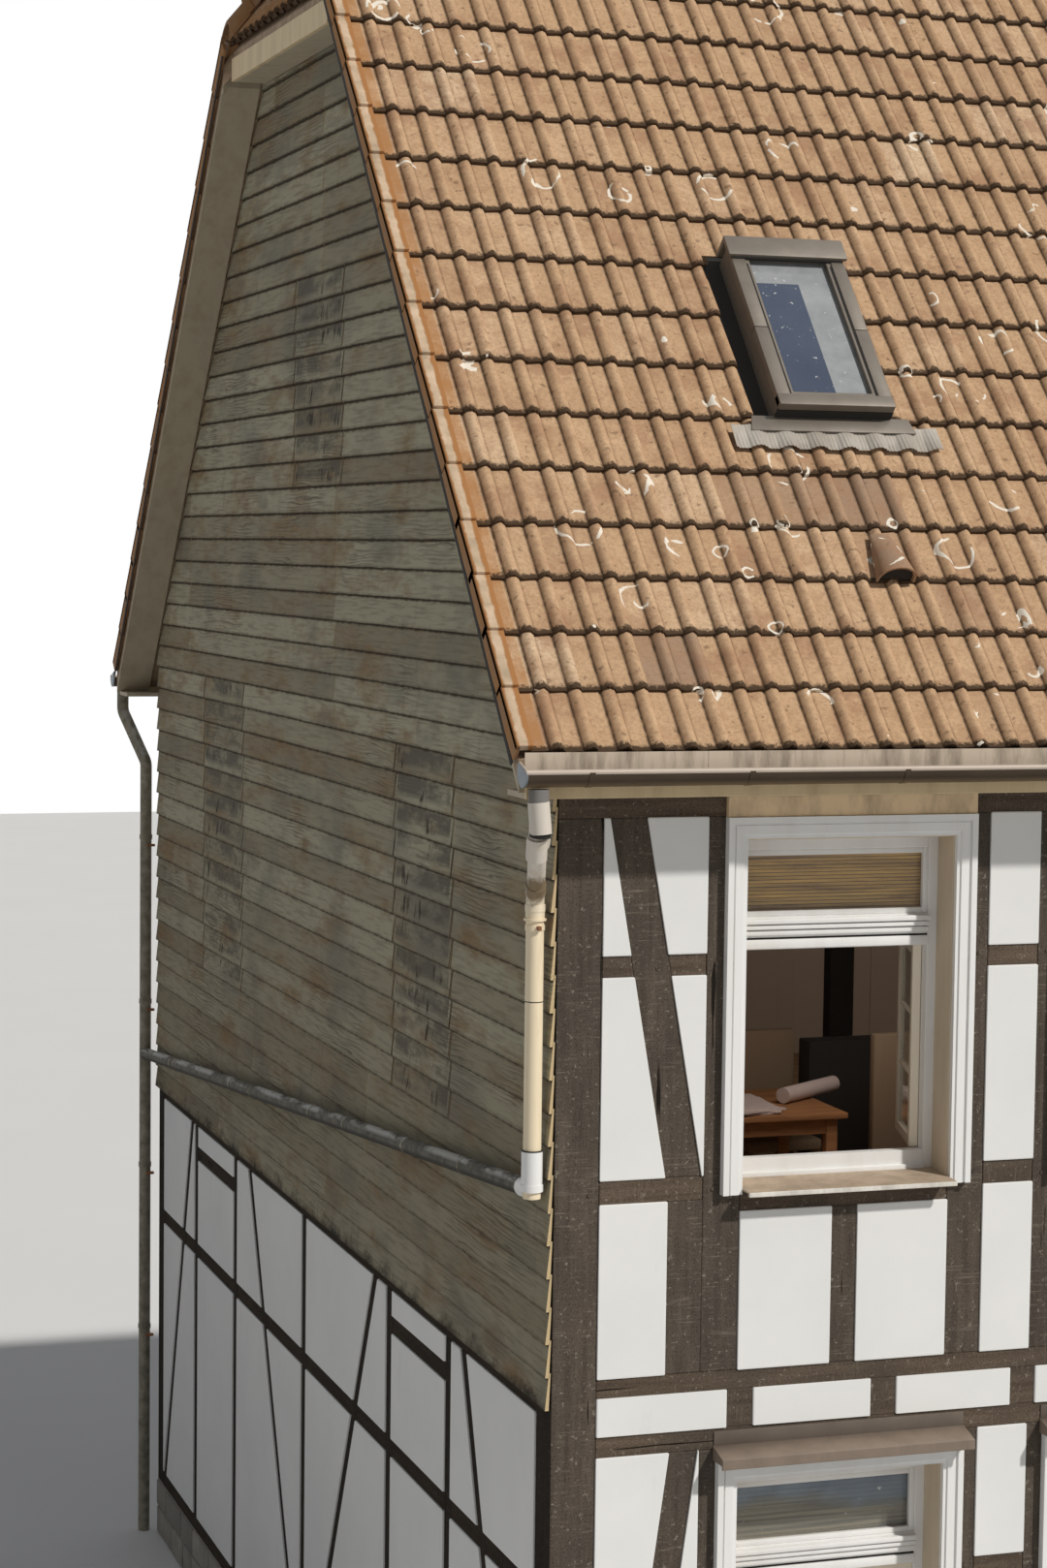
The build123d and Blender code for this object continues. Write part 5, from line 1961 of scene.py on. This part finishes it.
# Things seen through the open window, standing on the upper floor

room = {
    "floorZ": 3.11,
    "tableTop": 3.85,
    "tableX": (-3.62, -2.19),
    "tableY": (-2.1, -1.35),
    "topThickness": 0.03,
    "railHeight": 0.08,
    "railInset": (0.05, 0.07),
    "leg": 0.06,
    "legInset": 0.04,
    "paper": (0.3, 0.42, 0.007),
    "paperLift": 0.006,
    "papers": ((-2.72, -1.86, 0.1), (-2.66, -1.84, -0.12), (-2.7, -1.87, 0.3), (-2.68, -1.83, -0.02)),
    "paperRoll": ((-2.42, -1.8, 3.895), (-2.02, -1.52, 3.895)),
    "rollRadius": 0.04,
    "chairBacks": (((-2.46, -1.06, 3.59), (-2.04, -1.0, 4.11)),
                   ((-1.98, -1.93, 3.59), (-1.56, -1.87, 4.21))),
    "seatDepth": 0.38,
    "seatHeight": (0.42, 0.48),
    "chairLeg": 0.04,
    "darkThings": (((-2.04, -1.25, 3.11), (-1.61, -1.1, 4.07)),
                   ((-1.4, -0.05, 3.11), (-1.25, 0.05, 5.5))),
}


def roomTable():
    x0, x1 = room["tableX"]
    y0, y1 = room["tableY"]
    under = room["tableTop"] - room["topThickness"]
    leg = room["leg"]
    inset = room["legInset"]
    table = bmesh.new()
    addBox(table, (x0, y0, under), (x1, y1, room["tableTop"]), 0.006)
    near, far = room["railInset"]
    addBox(table, (x0 + near, y0 + near, under - room["railHeight"]), (x1 - near, y0 + far, under))
    for x in (x0 + inset, x1 - inset - leg):
        for y in (y0 + inset, y1 - inset - leg):
            addBox(table, (x, y, room["floorZ"]), (x + leg, y + leg, under), 0.004)
    finishPiece("roomTable", table, "tableWood")


def tablePapers():
    # loose sheets in a heap, and one rolled up beside them
    papers = bmesh.new()
    for i, (x, y, angle) in enumerate(room["papers"]):
        z = room["tableTop"] + room["paperLift"] + room["paper"][2] * i
        place = Matrix.Translation((x, y, z))
        turned = place @ Matrix.Rotation(angle, 4, "Z") @ Matrix.Diagonal((*room["paper"], 1))
        bmesh.ops.create_cube(papers, size=1, matrix=turned)
    addRod(papers, *room["paperRoll"], room["rollRadius"], 18)
    finishPiece("tablePapers", papers, "paper")


def roomChairs():
    chairs = bmesh.new()
    seatLow, seatHigh = (room["floorZ"] + z for z in room["seatHeight"])
    leg = room["chairLeg"]
    for low, high in room["chairBacks"]:
        front = low[1] - room["seatDepth"]
        addBox(chairs, low, high, 0.015)
        addBox(chairs, (low[0], front, seatLow), (high[0], high[1], seatHigh), 0.015)
        for x in (low[0], high[0] - leg):
            for y in (front + 0.02, low[1]):
                addBox(chairs, (x, y, room["floorZ"]), (x + leg, y + leg, seatLow))
    finishPiece("roomChairs", chairs, "fabric")


def roomThings():
    things = bmesh.new()
    for low, high in room["darkThings"]:
        addBox(things, low, high, 0.01)
    finishPiece("roomThings", things, "dark")


roomTable()
tablePapers()
roomChairs()
roomThings()
print("room furnished")

# Door boards, rails and handle on the back wall

door = {
    "boards": 7,
    "side": 0.04,
    "joint": 0.002,
    "boardThickness": 0.012,
    "boardFoot": 0.24,
    "boardHead": 0.06,
    "sunk": 0.002,
    "railThickness": 0.022,
    "railSide": 0.02,
    # height of each rail above the leaf's foot, its middle or its head, and how wide it is
    "rails": (("foot", 0.02, 0.2), ("head", -0.07, 0.06), ("middle", -0.05, 0.06)),
    "plate": ((0.06, 0.012, 1.0), (0.1, 0.018, 1.2)),
    "handle": (((0.08, 0.035, 1.12), (0, 1, 0), 0.04), ((0.125, 0.052, 1.12), (1, 0, 0), 0.11)),
    "handleRadius": 0.009,
}


def doorDress():
    low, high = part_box("door")
    face = high.y
    back = face - door["sunk"]
    heights = {"foot": low.z, "middle": (low.z + high.z) / 2, "head": high.z}
    bm = bmesh.new()
    width = (high.x - low.x - 2 * door["side"]) / door["boards"]
    for i in range(door["boards"]):
        x = low.x + door["side"] + i * width
        zRange = (low.z + door["boardFoot"], high.z - door["boardHead"])
        addSideBox(bm, 1, (x + door["joint"], x + width - door["joint"]),
                   (back, face + door["boardThickness"]), zRange, 0.003)
    for place, shift, height in door["rails"]:
        z = heights[place] + shift
        addSideBox(bm, 1, (low.x + door["railSide"], high.x - door["railSide"]),
                   (back, face + door["railThickness"]), (z, z + height), 0.004)
    finishPiece("doorBoards", bm, "doorWood")
    metal = bmesh.new()
    corner = Vector((low.x, face, low.z))
    addBox(metal, *(corner + Vector(place) for place in door["plate"]), 0.002)
    for place, direction, length in door["handle"]:
        addRing(metal, corner + Vector(place), direction, door["handleRadius"], length, 12)
    finishPiece("doorHandle", metal, "steel")


doorDress()
print("door dressed")

# Camera, light and floor

view = {
    "place": (-8.57, -16.3, 6.65),
    "yaw": math.radians(18.13),
    "pitch": math.radians(-4.33),
    "roll": math.radians(0.7),
    "lens": 71.87,
    "sensor": 36,
}
light = {
    "sunAngle": math.radians(2.5),
    "sunPower": 3.0,
    "sunColour": (1.0, 0.965, 0.91),
    "sunTurn": math.radians(140),
    "sunHeight": math.radians(42),
    "skyPower": 0.225,
    "skyColour": (0.95, 0.97, 1.0),
    "roomSize": 1.0,
    "roomColour": (1.0, 0.88, 0.77),
    "roomLamps": (((-2.3, -2.9, 5.3), 35, 12.0), ((0.4, 1.0, 5.2), 70, 11.0)),  # place, tilt, power
}
paleFloor = {
    "size": 60,
    "tones": ((0.0, 0.72), (1.0, 0.76)),
}


def direction(turn, height):
    # along +Y, turned towards +X and raised
    return Vector((math.sin(turn) * math.cos(height), math.cos(turn) * math.cos(height), math.sin(height)))


def addCamera():
    data = bpy.data.cameras.new("photoView")
    data.lens = view["lens"]
    data.sensor_width = view["sensor"]
    camera = placeObject("photoView", data)
    forward = direction(view["yaw"], view["pitch"])
    level = direction(view["yaw"] + math.radians(90), 0)
    raised = level.cross(forward)
    roll = view["roll"]
    right = math.cos(roll) * level + math.sin(roll) * raised
    up = math.cos(roll) * raised - math.sin(roll) * level
    matrix = Matrix((right, up, -forward)).transposed().to_4x4()
    matrix.translation = Vector(view["place"])
    camera.matrix_world = matrix
    bpy.context.scene.camera = camera


def addLamp(name, kind, power, colour):
    data = bpy.data.lights.new(name, kind)
    data.energy = power
    data.color = colour
    return placeObject(name, data)


def addSun():
    sun = addLamp("keyLight", "SUN", light["sunPower"], light["sunColour"])
    sun.data.angle = light["sunAngle"]
    toward = direction(light["sunTurn"], light["sunHeight"])
    sun.rotation_euler = toward.to_track_quat("Z", "Y").to_euler()


def addRoomLights():
    # faint lamps under the attic floor, so that the room behind the open window isn't black
    for i, (place, tilt, power) in enumerate(light["roomLamps"], 1):
        lamp = addLamp(f"roomLight{i}", "AREA", power, light["roomColour"])
        lamp.data.size = light["roomSize"]
        lamp.location = place
        lamp.rotation_euler = (math.radians(tilt), 0, 0)


def addWorld():
    # soft pale light; camera, glossy and transmission rays see plain white
    world = bpy.data.worlds.new("paleStudio")
    bpy.context.scene.world = world
    world.use_nodes = True
    tree = world.node_tree
    soft = tree.nodes["Background"]
    setInput(tree, soft.inputs["Color"], light["skyColour"])
    setInput(tree, soft.inputs["Strength"], light["skyPower"])
    white = addNode(tree, "ShaderNodeBackground", {"Color": (1, 1, 1), "Strength": 1.0})
    path = addNode(tree, "ShaderNodeLightPath").outputs
    seen = plus(tree, path["Is Camera Ray"], path["Is Glossy Ray"])
    seen = plus(tree, seen, path["Is Transmission Ray"], clamp=True)
    mixed = addNode(tree, "ShaderNodeMixShader", {0: seen, 1: soft.outputs[0], 2: white.outputs[0]})
    tree.links.new(mixed.outputs[0], tree.nodes["World Output"].inputs["Surface"])


def addFloor():
    bm = bmesh.new()
    bmesh.ops.create_grid(bm, x_segments=1, y_segments=1, size=paleFloor["size"])
    mesh = templateMesh(bm)
    material, tree = newSurface("paleFloor", 0.9, 0.1)
    mesh.materials.append(colourAndBump(material, ramp(tree, noise(tree, 0.4, 2), *paleFloor["tones"])))
    floor = placeObject("paleFloor", mesh)


addCamera()
addSun()
addRoomLights()
addWorld()
addFloor()
bpy.context.scene.view_settings.view_transform = "Standard"
print("camera and light set")

bpy.context.view_layer.update()
